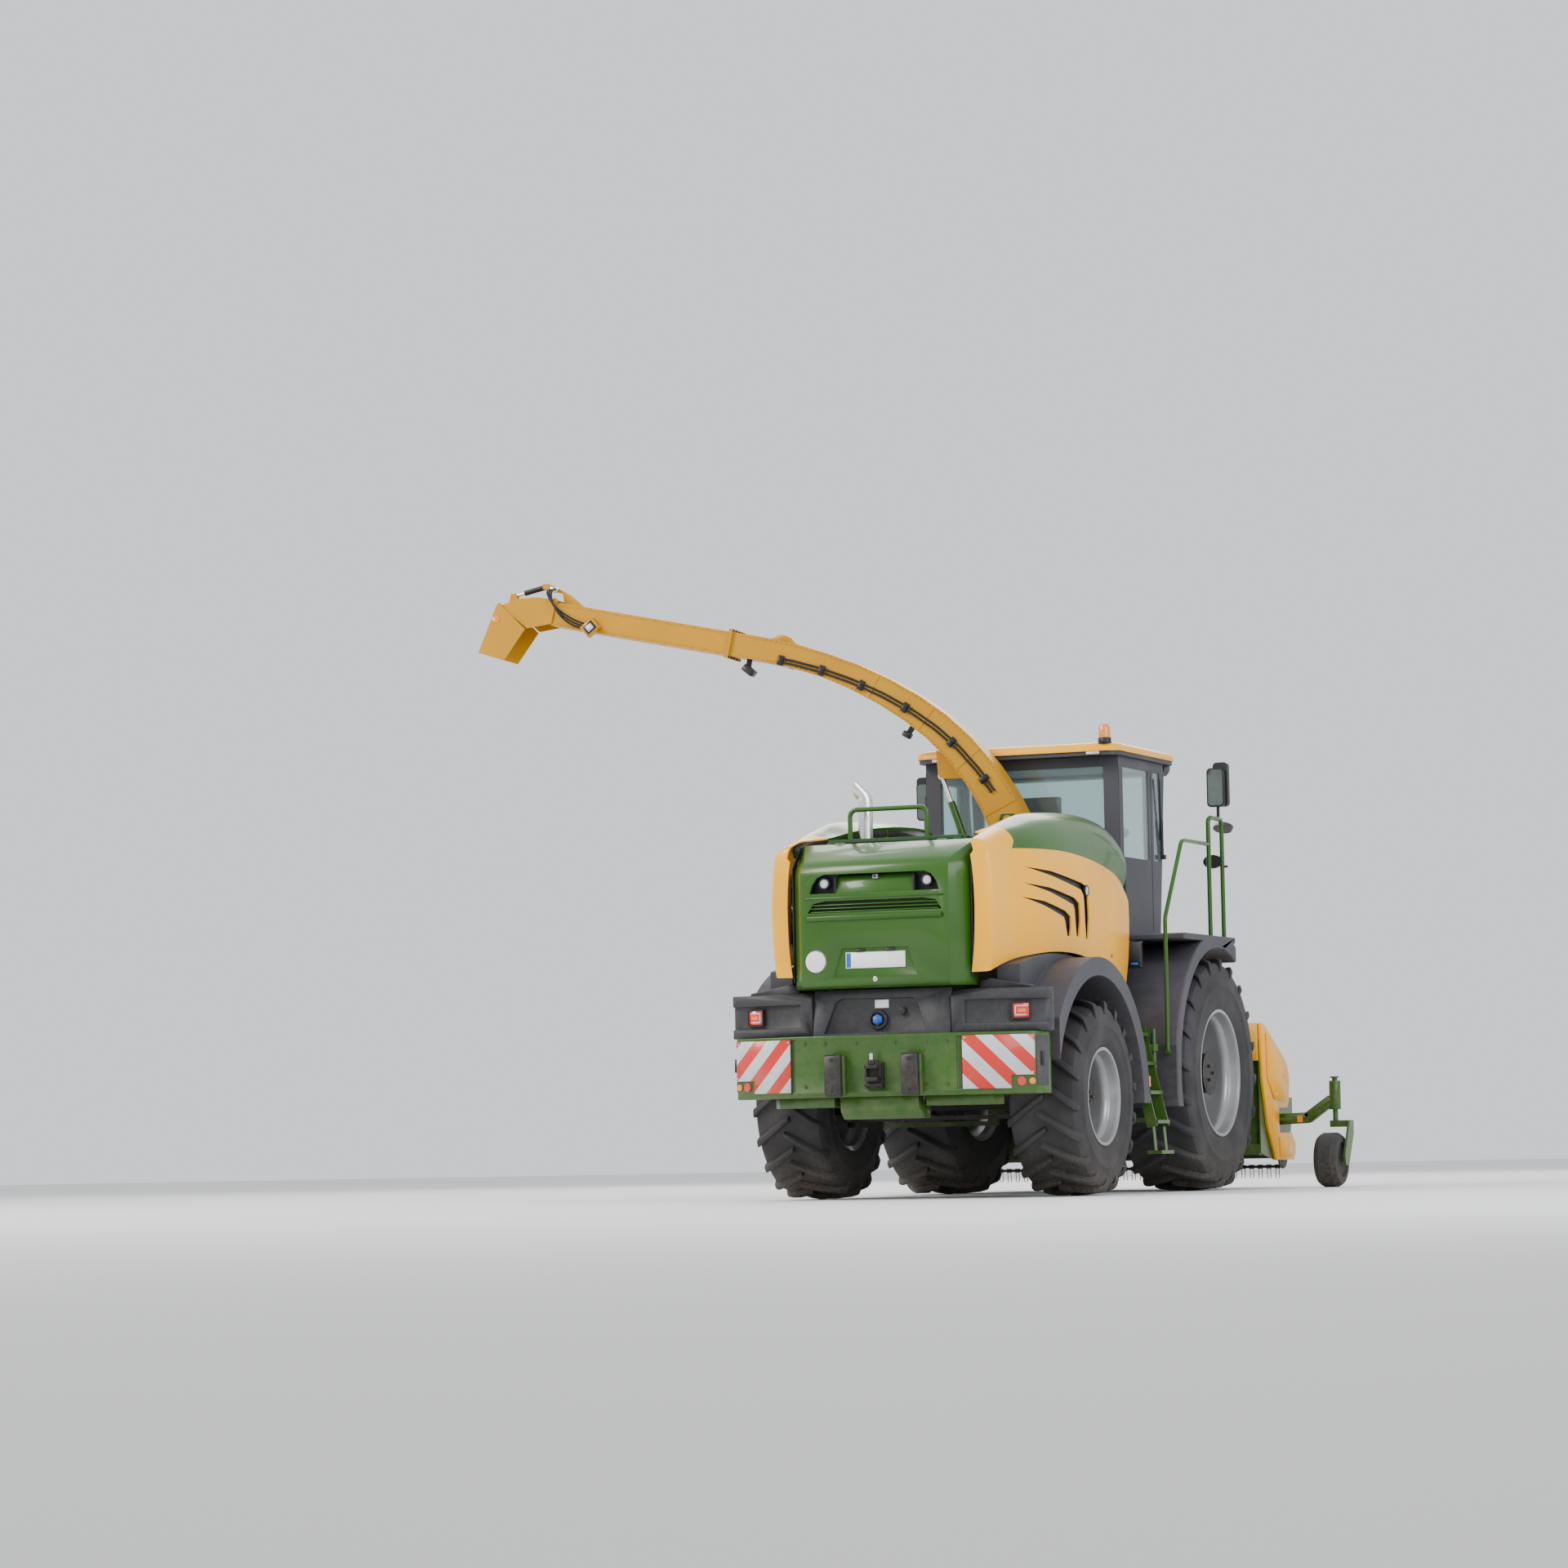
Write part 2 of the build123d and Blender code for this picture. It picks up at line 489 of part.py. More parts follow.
def front_fender():
    """Left arch over the front wheel with the platform on top."""
    ring = Rot(0, 90, 0) * (Cylinder(FRONT_TYRE_R + 205, 620) - Cylinder(FRONT_TYRE_R + 70, 640))
    ring = Pos((PLATFORM_IN_X + PLATFORM_OUT_X) / 2, FRONT_Y, FRONT_TYRE_R) * ring
    shell = ring & block(PLATFORM_IN_X, PLATFORM_OUT_X, FRONT_Y - 496, FRONT_Y + 1214, FRONT_TYRE_R - 300, PLATFORM_Z)
    return shell + block(PLATFORM_IN_X, PLATFORM_OUT_X, FRONT_Y - 496, FRONT_Y + 954, PLATFORM_Z - 55, PLATFORM_Z)


def side_wall():
    """Left grey wall between the wheels, under the cab."""
    y = LADDER_POST[1]
    wall = slab_x([(y + 370, 1500), (y + 290, 1000), (y - 90, 900), (y - 60, 1500), (y - 160, CAB_FLOOR_Z - 90),
                   (y, CAB_FLOOR_Z - 90), (y, TUB_Z - 60), (y + 340, TUB_Z - 60)], SIDE_WALL_X, SIDE_WALL_X + 30)
    return wall - block(800, 1000, y - 31, y + 31, 1359, 1401)


# ---------------------------------------------------------------- cab
BROW_Z = CAB_FLOOR_Z + 1060    # where the windscreen stands furthest forward
QUARTER = [(DOOR_LATCH_Y - 80, CAB_SILL_Z), (DOOR_LATCH_Y - 80, CAB_TOP_Z - 90), (CAB_FRONT_Y + 90, CAB_TOP_Z - 90),
           (CAB_FRONT_Y + 50, BROW_Z), (CAB_FRONT_Y + 110, CAB_SILL_Z)]


def cab_outline(inset):
    y0, y1 = CAB_REAR_Y - inset, CAB_FRONT_Y + inset
    return [(y0, CAB_FLOOR_Z + inset), (y0, CAB_TOP_Z - inset), (y1 - 60, CAB_TOP_Z - inset),
            (y1, BROW_Z), (y1 + 140, CAB_FLOOR_Z + inset)]


def cab_frame():
    shell = slab_x(cab_outline(0), -CAB_HALF, CAB_HALF) - slab_x(cab_outline(CAB_WALL), -CAB_HALF + CAB_WALL,
                                                                  CAB_HALF - CAB_WALL)
    # rear window, front window, and both doorways
    shell -= block(140 - CAB_HALF, CAB_HALF - 140, CAB_REAR_Y - 100, CAB_REAR_Y + 100, CAB_SILL_Z, CAB_TOP_Z - 90)
    shell -= block(100 - CAB_HALF, CAB_HALF - 100, CAB_FRONT_Y - 200, CAB_FRONT_Y + 300, CAB_SILL_Z - 350, CAB_TOP_Z - 90)
    shell -= block(CAB_HALF - 100, CAB_HALF + 100, DOOR_LATCH_Y, DOOR_HINGE_Y, CAB_FLOOR_Z + 90, CAB_TOP_Z - 90)
    shell -= block(-CAB_HALF - 100, 100 - CAB_HALF, DOOR_LATCH_Y + 50, DOOR_HINGE_Y - 50, CAB_SILL_Z, CAB_TOP_Z - 90)
    shell -= slab_x(QUARTER, -CAB_HALF - 100, CAB_HALF + 100)
    x, y = DOOR_PIN
    for z in DOOR_HINGES:
        lug = slab_z([(CAB_HALF - 10, y + 2), (x, y), (x, y + HINGE_R), (CAB_HALF - 10, y + 14)], z - 18, z + 18)
        lug += disc_z(x, y, z - 18, z + 18, HINGE_R)
        shell += lug - disc_z(x, y, z - 20, z + 20, HINGE_PIN_R + FIT)
    return shell


def cab_glass():
    rear = block(140 - CAB_HALF + RUN, CAB_HALF - 140 - RUN, CAB_REAR_Y - 20 - GLASS_T, CAB_REAR_Y - 20, CAB_SILL_Z + RUN, CAB_TOP_Z - 90 - RUN)
    front = slab_x([(CAB_FRONT_Y - 40, CAB_TOP_Z - 90 - RUN), (CAB_FRONT_Y - 40 + GLASS_T, CAB_TOP_Z - 90 - RUN),
                    (CAB_FRONT_Y + 20 + GLASS_T, BROW_Z), (CAB_FRONT_Y + 120 + GLASS_T, CAB_SILL_Z - 350 + RUN),
                    (CAB_FRONT_Y + 120, CAB_SILL_Z - 350 + RUN), (CAB_FRONT_Y + 20, BROW_Z)], 100 - CAB_HALF + RUN, CAB_HALF - 100 - RUN)
    right = block(-CAB_HALF + 10, -CAB_HALF + 10 + GLASS_T, DOOR_LATCH_Y + 50 + RUN, DOOR_HINGE_Y - 50 - RUN,
                  CAB_SILL_Z + RUN, CAB_TOP_Z - 90 - RUN)
    quarters = both(slab_x(QUARTER, CAB_HALF - 18, CAB_HALF - 10))
    return [rear, front, right] + quarters


def cab_roof():
    roof = slab_x([(CAB_REAR_Y + 160, CAB_TOP_Z + RUN), (CAB_REAR_Y + 160, CAB_TOP_Z + 60), (CAB_REAR_Y + 60, CAB_TOP_Z + ROOF_T),
                   (CAB_FRONT_Y - 150, CAB_TOP_Z + ROOF_T), (CAB_FRONT_Y - 280, CAB_TOP_Z + 50),
                   (CAB_FRONT_Y - 280, CAB_TOP_Z + RUN)], -CAB_HALF - 60, CAB_HALF + 60)
    return roof


def cab_interior():
    floor = CAB_FLOOR_Z + CAB_WALL + RUN
    seat_y, wheel_y = CAB_REAR_Y - 490, CAB_FRONT_Y + 360
    seat = block(-260, 260, seat_y - 250, seat_y + 250, floor + 420, floor + 560)
    seat += block(-250, 250, seat_y + 160, seat_y + 280, floor + 560, floor + 1180)
    seat += block(-150, 150, seat_y - 150, seat_y + 150, floor, floor + 420)
    column = bar((0, wheel_y - 50, floor + 10), (0, wheel_y - 10, floor + 778), 120, 120)
    column += block(-90, 90, wheel_y - 120, wheel_y + 40, floor, floor + 40)
    tilt = Pos(0, wheel_y, floor + 780) * Rot(25, 0, 0)
    column += tilt * Torus(190, 16) + tilt * Box(380, 30, 20)
    return [seat, column]


def cab_door():
    """Left door: grey lower half, window above; hinged on its rear edge."""
    y0, y1 = DOOR_LATCH_Y + AIR, DOOR_HINGE_Y - AIR
    z0, z1 = CAB_FLOOR_Z + 90 + AIR, CAB_TOP_Z - 90 - AIR
    door = block(CAB_HALF - 55, CAB_HALF + 15, y0, y1, z0, z1)
    door -= block(0, 2000, y0 + 55, y1 - 55, CAB_SILL_Z, z1 - 55)
    x, y = DOOR_PIN
    for z in DOOR_HINGES:
        for z2, z3 in ((z - 48, z - 20), (z + 20, z + 48)):
            door += disc_z(x, y, z2, z3, HINGE_R) + block(x - 8, x + 8, y - 52, y, z2, z3)
            door += block(CAB_HALF + 5, x + 8, y - 60, y - 34, z2, z3)
        door += disc_z(x, y, z - 30, z + 30, HINGE_PIN_R)
    return door


def door_glass():
    y0, y1 = DOOR_LATCH_Y + AIR + 55 + RUN, DOOR_HINGE_Y - AIR - 55 - RUN
    return block(CAB_HALF - 10, CAB_HALF - 10 + GLASS_T, y0, y1, CAB_SILL_Z + RUN, CAB_TOP_Z - 90 - AIR - 55 - RUN)


# ---------------------------------------------------------------- access
def ladder():
    """Left ladder: two stringers, steps and the step hung below; turns on a post."""
    y0, y1 = LADDER_POST[1] + 60, LADDER_POST[1] + 375
    top, foot = (1190, 1420), (1390, 560)
    body = None
    for y in (y0, y1):
        stringer = bar((top[0], y, top[1]), (foot[0], y, foot[1]), 20, 90)
        body = stringer if body is None else body + stringer
    for i in range(4):
        t = 0.08 + i * 0.29
        x = top[0] + (foot[0] - top[0]) * t
        z = top[1] + (foot[1] - top[1]) * t
        body += block(x - 60, x + 60, y0, y1, z - 15, z + 15)
    for y in (y0 + 20, y1 - 20):
        body += bar((foot[0], y, foot[1] + 20), (foot[0] + 20, y, 340), 8, 60)
    body += block(foot[0] - 50, foot[0] + 80, y0 - 5, y1 + 5, 330, 360)
    for z in (760, 1240):
        t = (top[1] - z) / (top[1] - foot[1])
        x = top[0] + (foot[0] - top[0]) * t
        body += disc_z(LADDER_POST[0], LADDER_POST[1], z - 30, z + 30, POST_R + 18)
        body += bar((LADDER_POST[0], LADDER_POST[1], z), (x, y0, z), 36, 50)
    body -= disc_z(LADDER_POST[0], LADDER_POST[1], 500, 1500, POST_R + 0.1)
    return body


def rails():
    """Green tube rails: platform rail on each side, grab rails by the ladders, hood rail."""
    x, floor, top = RAIL_X, PLATFORM_Z + RUN, PLATFORM_Z + 1055
    front, back = RAIL_POSTS
    frame = bent_tube([(x, back, floor), (x, back, top), (x, front, top), (x, front, floor)], 20, 60)
    foot_y = FRONT_Y + 1214
    foot = disc_y(x, foot_y + RUN, foot_y + 68, 1200, 18)
    grab = bent_tube([(x, foot_y + 50, 1200), (x, foot_y + 40, floor + 115), (x, foot_y - 460, floor + 815),
                      (x, back + 15, floor + 815)], 18, 120)
    left = bent_tube([(x, foot_y + 50, 1200), (x, foot_y + 40, floor + 665), (x, foot_y - 290, floor + 665),
                      (x, foot_y - 290, floor)], 18, 100)
    out = [frame, left + foot, mirrored(frame + grab + foot)]
    out.append(bent_tube([(440, 900, DECK_Z + RUN), (440, 900, 3210), (-240, 900, 3210), (-240, 900, DECK_Z + RUN)], 20, 60))
    return out


def mirrors():
    out = []
    for side in (1, -1):
        x, y, z = side * RAIL_X, RAIL_POSTS[0] + 80, PLATFORM_Z + 1075
        pole = rod((x, y, z + RUN), (x, y, z + 90), 16) + block(x - 90, x + 90, y - 40, y + 30, z + 90, z + 490)
        out.append(pole)
    return out


def lamps():
    """Lamps and beacon that stand on the body."""
    out = []
    beacon = disc_z(80 - CAB_HALF, CAB_REAR_Y + 110, CAB_TOP_Z + ROOF_T + RUN, CAB_TOP_Z + ROOF_T + 150, 55)
    out.append(beacon)
    for side in (1, -1):
        out.append(slab_z([(side * 1150, 1278.5), (side * 1330, 1240.8), (side * 1330, 1262), (side * 1150, 1300)], 1450, 1560))
    return out


# ---------------------------------------------------------------- spout
def spout_frame():
    """Plane whose X is the reach and Y is up, through the turret's centre."""
    a = radians(SPOUT_ANGLE)
    reach = (sin(a), -cos(a), 0)
    return Plane(origin=(0, TURRET_Y, 0), x_dir=reach, z_dir=Vector(*reach).cross(Vector(0, 0, 1)))


SPOUT_PLANE = spout_frame()


def spout_line(steps=5):
    """Centre line, direction and depth of the duct: two arcs and a straight run."""
    x, z = SPOUT_BASE
    out = [(x, z, SPOUT_A0)]
    for a, b, r in ((SPOUT_A0, SPOUT_A1, SPOUT_R1), (SPOUT_A1, SPOUT_A2, SPOUT_R2)):
        for i in range(1, steps + 1):
            c = a + (b - a) * i / steps
            px = x + r * (sin(radians(a)) - sin(radians(c)))
            pz = z + r * (cos(radians(c)) - cos(radians(a)))
            out.append((px, pz, c))
        x, z = out[-1][:2]
    out.append((x + SPOUT_RUN * cos(radians(SPOUT_A2)), z + SPOUT_RUN * sin(radians(SPOUT_A2)), SPOUT_A2))
    return out


def in_spout(points, half0, half1):
    """A (reach, height) outline, thick across the spout from half0 to half1."""
    face = make_face(Polyline(*points, close=True))
    return extrude(SPOUT_PLANE.offset(half0) * face, half1 - half0)


def spout_edges(grow):
    line = spout_line()
    total = len(line) - 1
    upper, lower = [], []
    for i, (x, z, a) in enumerate(line):
        half = (SPOUT_H0 + (SPOUT_H1 - SPOUT_H0) * min(1, i / (total - 3))) / 2 + grow
        nx, nz = -sin(radians(a)), cos(radians(a))
        upper.append((x + nx * half, z + nz * half))
        lower.append((x - nx * half, z - nz * half))
    return upper, lower


def spout():
    upper, lower = spout_edges(0)
    duct = in_spout(upper + lower[::-1], -SPOUT_HALF, SPOUT_HALF)
    upper_in, lower_in = spout_edges(-SHEET)
    bore = in_spout(upper_in + lower_in[::-1], -SPOUT_HALF + SHEET, SPOUT_HALF - SHEET)
    duct -= bore
    px, pz = SPOUT_PIVOT
    for side in (1, -1):
        plane = SPOUT_PLANE.offset(side * SPOUT_HALF)
        pin = extrude(plane * Pos(px, pz) * Circle(40), side * 60)
        duct += pin
    # ears of the lift cylinder under the duct, and of the deflector's cylinder on its end
    ex, ez = LIFT_EYE
    for side in (1, -1):
        ear = in_spout([(ex - 260, ez - 30), (ex - 20, ez - 26), (ex + 26, ez + 10), (ex + 40, ez + 230)],
                       side * 26, side * 36)
        duct += ear - bore
    duct += spout_disc(LIFT_EYE, EYE_PIN_R, 36)
    fx, fz = DEFLECT_FOOT
    for side in (1, -1):
        ear = in_spout([(fx - 380, fz - 220), (fx - 185, fz - 178), (fx - 165, fz - 70), (fx + 22, fz - 20),
                        (fx + 22, fz + 24), (fx - 40, fz + 24), (fx - 220, fz - 80)], side * 30, side * 38)
        duct += ear - bore
    duct += spout_disc(DEFLECT_FOOT, EYE_PIN_R, 38)
    for side in (1, -1):
        duct += across(DEFLECT_PIVOT, 14, side * (SPOUT_HALF - 6), side * DEFLECT_OUT)
    return duct


def across(at, radius, half0, half1):
    """A disc across the spout between two distances from its middle plane."""
    return extrude(SPOUT_PLANE.offset(half0) * Pos(*at) * Circle(radius), half1 - half0)


def turret():
    top = TOWER_Z + 245
    ring = Pos(0, TURRET_Y, 0) * (disc_z(0, 0, TOWER_Z + RUN, top, TURRET_R) - disc_z(0, 0, TOWER_Z - 10, top + 10, TURRET_R - 25))
    px, pz = SPOUT_PIVOT
    for side in (1, -1):
        cheek = in_spout([(px - 70, top - 60), (px + 160, top - 60), (px + 60, pz + 55), (px - 55, pz + 55)],
                         side * (SPOUT_HALF + AIR), side * (SPOUT_HALF + AIR + 20))
        plane = SPOUT_PLANE.offset(side * (SPOUT_HALF + AIR - 5))
        cheek -= extrude(plane * Pos(px, pz) * Circle(40.1), side * 40)
        ring += cheek
    fx, fz = LIFT_FOOT
    for side in (1, -1):
        ring += in_spout([(TURRET_R - 10, fz - 60), (fx + 25, fz - 25), (fx + 25, fz + 25), (TURRET_R - 10, fz + 60)],
                         side * 34, side * 44)
    ring += spout_disc(LIFT_FOOT, EYE_PIN_R, 44)
    return ring


def spout_rod(a, b, radius):
    """A round bar in the spout's middle plane, from a to b given as (reach, height)."""
    pa = SPOUT_PLANE.from_local_coords((a[0], a[1], 0))
    pb = SPOUT_PLANE.from_local_coords((b[0], b[1], 0))
    return rod((pa.X, pa.Y, pa.Z), (pb.X, pb.Y, pb.Z), radius)


def spout_disc(at, radius, half):
    """A disc across the spout, centred at (reach, height)."""
    return extrude(SPOUT_PLANE.offset(-half) * Pos(*at) * Circle(radius), 2 * half)


def toward(a, b, reach):
    """The point on the line from a to b that lies reach from a."""
    t = reach / hypot(b[0] - a[0], b[1] - a[1])
    return (a[0] + (b[0] - a[0]) * t, a[1] + (b[1] - a[1]) * t)


def barrel(foot, eye, radius, length, half):
    """Cylinder barrel: foot lug, tube with its bore and end cap."""
    tube = spout_rod(foot, toward(foot, eye, length), radius)
    tube += spout_disc(foot, radius, half)
    return tube - spout_rod(toward(foot, eye, radius + 15), toward(foot, eye, length + 10), 0.62 * radius + 0.1) \
        - spout_disc(foot, EYE_PIN_R + 0.1, half + 5)


def piston_rod(foot, eye, radius, start, half):
    """Piston rod with the eye at its end; the eye hole is wide, as the linkage is opened there."""
    stem = spout_rod(toward(foot, eye, start), eye, 0.62 * radius)
    stem += spout_disc(eye, radius, half)
    return stem - spout_disc(eye, EYE_HOLE_R, half + 5)


def deflector_outline():
    x, z = DEFLECT_PIVOT
    return [(x - 10, z + 8), (x + 170, z + 40), (x + 350, z + 35), (x + 520, z - 22), (x + 270, z - 235), (x + 40, z - 205)]


def deflector():
    """First flap at the duct's mouth: a channel open below."""
    outer = in_spout(deflector_outline(), -DEFLECT_OUT, DEFLECT_OUT)
    x, z = DEFLECT_PIVOT
    inner = in_spout([(x - 60, z - 8), (x + 172, z + 28), (x + 348, z + 23), (x + 560, z - 45), (x + 560, z - 400),
                      (x - 60, z - 400)], -DEFLECT_IN, DEFLECT_IN)
    body = outer - inner
    for side in (1, -1):
        body += across(DEFLECT_PIVOT, 26, side * DEFLECT_IN, side * DEFLECT_OUT)
        body -= across(DEFLECT_PIVOT, 22, side * (SPOUT_HALF - 14), side * DEFLECT_IN)
        body -= across(DEFLECT_PIVOT, 14 + FIT, side * (DEFLECT_IN - 5), side * (DEFLECT_OUT + 5))
        body += across(FLAP_PIVOT, 20, side * DEFLECT_IN, side * DEFLECT_OUT)
        body += across(FLAP_PIVOT, 10, side * (DEFLECT_OUT - 3), side * FLAP_OUT)
    lug = in_spout([(DEFLECT_EYE[0] - 50, z), (DEFLECT_EYE[0] + 50, z - 12), (DEFLECT_EYE[0] + 26, DEFLECT_EYE[1] + 22),
                    (DEFLECT_EYE[0] - 26, DEFLECT_EYE[1] + 22)], 20, 28)
    lug += in_spout([(DEFLECT_EYE[0] - 50, z), (DEFLECT_EYE[0] + 50, z - 12), (DEFLECT_EYE[0] + 26, DEFLECT_EYE[1] + 22),
                     (DEFLECT_EYE[0] - 26, DEFLECT_EYE[1] + 22)], -28, -20)
    lug += spout_disc(DEFLECT_EYE, EYE_PIN_R, 28)
    return body + lug


def end_flap():
    """Second flap, which throws the crop down."""
    x, z = FLAP_PIVOT
    outer = in_spout([(x - 5, z + 12), (x + 30, z - 5), (x + 205, z - 420), (x - 35, z - 500), (x - 240, z - 225)],
                     -FLAP_OUT, FLAP_OUT)
    inner = in_spout([(x - 60, z + 60), (x - 5, z - 2), (x + 12, z - 12), (x + 210, z - 480), (x - 80, z - 560),
                      (x - 400, z - 300), (x - 400, z + 60)], -FLAP_IN, FLAP_IN)
    body = outer - inner
    for side in (1, -1):
        body += across(FLAP_PIVOT, 22, side * FLAP_IN, side * FLAP_OUT)
        body -= across(FLAP_PIVOT, 28, side * (DEFLECT_IN - 8), side * FLAP_IN)
        body -= across(FLAP_PIVOT, 10 + FIT, side * (FLAP_IN - 5), side * (FLAP_OUT + 5))
    return body


# ---------------------------------------------------------------- grass pickup
def feeder():
    """Intake channel that carries the pickup and lifts with it."""
    y0, y1 = LIFT_PIVOT[0] + 110, HEADER_REAR_Y + RUN
    walls = slab_x([(y0, 620), (y0, 960), (y0 - 120, 1140), (y1, 1140), (y1, 420)], -358, 358)
    walls -= slab_x([(y0 + 10, 660), (y0 + 10, 1010), (y1 - 10, 1010), (y1 - 10, 460)], -330, 330)
    for side in (1, -1):
        walls += disc_x(side * 350, side * 410, LIFT_PIVOT[0], LIFT_PIVOT[1], 28)
    return walls


def header_frame():
    """Rear wall with the crop opening, trough, end plates and the gauge-wheel arms."""
    y = HEADER_REAR_Y
    half = HEADER_HALF - 30
    body = block(-half, half, y, y - 40, 360, 1350)
    body += block(-half, half, y + 60, y - 60, 1230, 1350) + block(-half, half, y + 50, y - 50, 300, 400)
    body -= block(-345, 345, y + 100, y - 100, 440, 1020)
    trough = slab_x([(y - 30, 300), (y - 30, 330), (y - 420, 330), (y - 470, 310), (y - 420, 300)], -half, half)
    body += trough
    for side in (1, -1):
        end = slab_x([(y + 40, 1350), (y + 40, 320), (y - 380, 250), (y - 830, 250), (y - 850, 420), (y - 940, 700),
                      (y - 940, 820), (y - 820, 820), (y - 640, 1050), (y - 200, 1350)],
                     side * half, side * (half + 12))
        body += end
        body += bent_tube([(side * half, GAUGE_Y, 620), (side * 1740, GAUGE_Y, 620), (side * GAUGE_X, GAUGE_Y, 800)], 42, 90)
        post = disc_z(side * GAUGE_X, GAUGE_Y, 700, 960, 52)
        body += post
    for side in (1, -1):
        body -= disc_z(side * GAUGE_X, GAUGE_Y, 600, 1000, 24.1)
    for side in (1, -1):
        for at_y, at_z, r in ((AUGER_Y, AUGER_Z, 30), (REEL_Y, REEL_Z, 30), (ROLLER_Y, ROLLER_Z, 20)):
            body += disc_x(side * (half - 60), side * (half + 5), at_y, at_z, r - FIT)
    return body


def header_covers():
    """Yellow side covers and the long cover above the auger."""
    y = HEADER_REAR_Y
    inside = HEADER_HALF - 18 + RUN
    side = slab_x([(y + 60, 1490), (y - 40, 1480), (y - 700, 1130), (y - 760, 1000), (y - 720, 730), (y - 430, 720),
                   (y - 430, 500), (y - 800, 500), (y - 900, 400), (y - 860, 250), (y - 330, 255), (y - 100, 560),
                   (y + 40, 1000)], inside, inside + 55)
    top = slab_x([(y + 60, 1490), (y - 40, 1480), (y - 700, 1130), (y - 705, 1110), (y - 45, 1455), (y + 60, 1465)],
                 -inside - 2, inside + 2)
    back = block(-inside - 2, inside + 2, y + 62, y + 80, 1150, 1490)
    return side + mirrored(side) + top + back + block(-inside, inside, y + 50, y + 70, 1460, 1490)


def auger():
    half = HEADER_HALF - 60
    body = disc_x(-half, half, AUGER_Y, AUGER_Z, AUGER_R)
    return body - disc_x(-half - 5, -half + 60, AUGER_Y, AUGER_Z, 30) - disc_x(half - 60, half + 5, AUGER_Y, AUGER_Z, 30)


def tine_reel():
    half = HEADER_HALF - 60
    body = disc_x(-half, half, REEL_Y, REEL_Z, REEL_R)
    return body - disc_x(-half - 5, -half + 60, REEL_Y, REEL_Z, 30) - disc_x(half - 60, half + 5, REEL_Y, REEL_Z, 30)


def crop_roller():
    half = HEADER_HALF - 60
    body = disc_x(-half, half, ROLLER_Y, ROLLER_Z, ROLLER_R)
    return body - disc_x(-half - 5, -half + 60, ROLLER_Y, ROLLER_Z, 20) - disc_x(half - 60, half + 5, ROLLER_Y, ROLLER_Z, 20)


def castor(side):
    """Single-sided fork of a gauge wheel, turning on its spindle in the post."""
    x, y = side * GAUGE_X, GAUGE_Y
    out = GAUGE_W / 2 + 20
    fork = disc_z(x, y, 560, 985, 24) + block(x - side * 40, x + side * (out + 20), y - 50, y + 50, 540, 600)
    fork += disc_z(x, y, 985, 1000, 40)
    fork += slab_x([(y - 60, 600), (y + 60, 600), (y + GAUGE_TRAIL + 60, GAUGE_R + 40), (y + GAUGE_TRAIL + 40, GAUGE_R - 50),
                    (y + GAUGE_TRAIL - 60, GAUGE_R - 50), (y - 60, 480)], x + side * (out + 0), x + side * (out + 20))
    fork += disc_x(x - side * (GAUGE_W / 2), x + side * (out + 5), y + GAUGE_TRAIL, GAUGE_R, 20)
    return fork


def gauge_wheel(side):
    x, y = side * GAUGE_X, GAUGE_Y + GAUGE_TRAIL
    half = GAUGE_W / 2
    outline = [(20.1, -half + 20), (GAUGE_R - 90, -half + 20), (GAUGE_R - 85, -half), (GAUGE_R - 30, -half + 6),
               (GAUGE_R, -half + 50), (GAUGE_R, half - 50), (GAUGE_R - 30, half - 6), (GAUGE_R - 85, half),
               (GAUGE_R - 90, half - 20), (20.1, half - 20)]
    return turned_x(outline, x, y, GAUGE_R)


def save_all():
    wheels()
    save("front_axle", front_axle())
    save("rear_axle_beam", rear_axle_beam())
    save("knuckle_left", knuckle(1))
    save("knuckle_right", knuckle(-1))
    save("tie_rod", tie_rod())
    save("main_frame", main_frame())
    save("engine_block", engine_block())
    save("rear_panels", rear_panels())
    save("ballast_bumper", ballast_bumper())
    save("warning_plates", warning_plates())
    save("tow_hitch", tow_hitch())
    save("tailgate", tailgate())
    flap = side_flap()
    save("side_flap_left", flap)
    save("side_flap_right", mirrored(flap))
    save("top_deck", top_deck())
    save("hood_walls", hood_walls())
    save("exhaust", exhaust())
    save("rear_fenders", both(rear_fender()))
    save("front_fenders", both(front_fender()))
    save("side_walls", both(side_wall()))
    save("cab_frame", cab_frame())
    save("cab_glass", cab_glass())
    save("cab_roof", cab_roof())
    save("cab_interior", cab_interior())
    door, pane = cab_door(), door_glass()
    save("cab_door", door)
    save("door_glass", pane)
    steps = ladder()
    save("ladder_left", steps)
    save("ladder_right", mirrored(steps))
    save("rails", rails())
    save("mirrors", mirrors())
    save("lamps", lamps())
    save("turret", turret())
    save("spout", spout())
    save("lift_barrel", barrel(LIFT_FOOT, LIFT_EYE, 32, 470, 30))
    save("lift_rod", piston_rod(LIFT_FOOT, LIFT_EYE, 32, 250, 20))
    save("deflector", deflector())
    save("end_flap", end_flap())
    save("flap_barrel", barrel(DEFLECT_FOOT, DEFLECT_EYE, 24, 210, 19))
    save("flap_rod", piston_rod(DEFLECT_FOOT, DEFLECT_EYE, 24, 110, 14))
    save("feeder", feeder())
    save("header_frame", header_frame())
    save("header_covers", header_covers())
    save("auger", auger())
    save("tine_reel", tine_reel())
    save("crop_roller", crop_roller())
    for side, hand in ((1, "left"), (-1, "right")):
        save(f"castor_{hand}", castor(side))
        save(f"gauge_wheel_{hand}", gauge_wheel(side))


save_all()
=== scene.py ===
import json
from math import atan2, cos, hypot, pi, radians, sin, sqrt

import bmesh
import bpy
from mathutils import Matrix, Vector

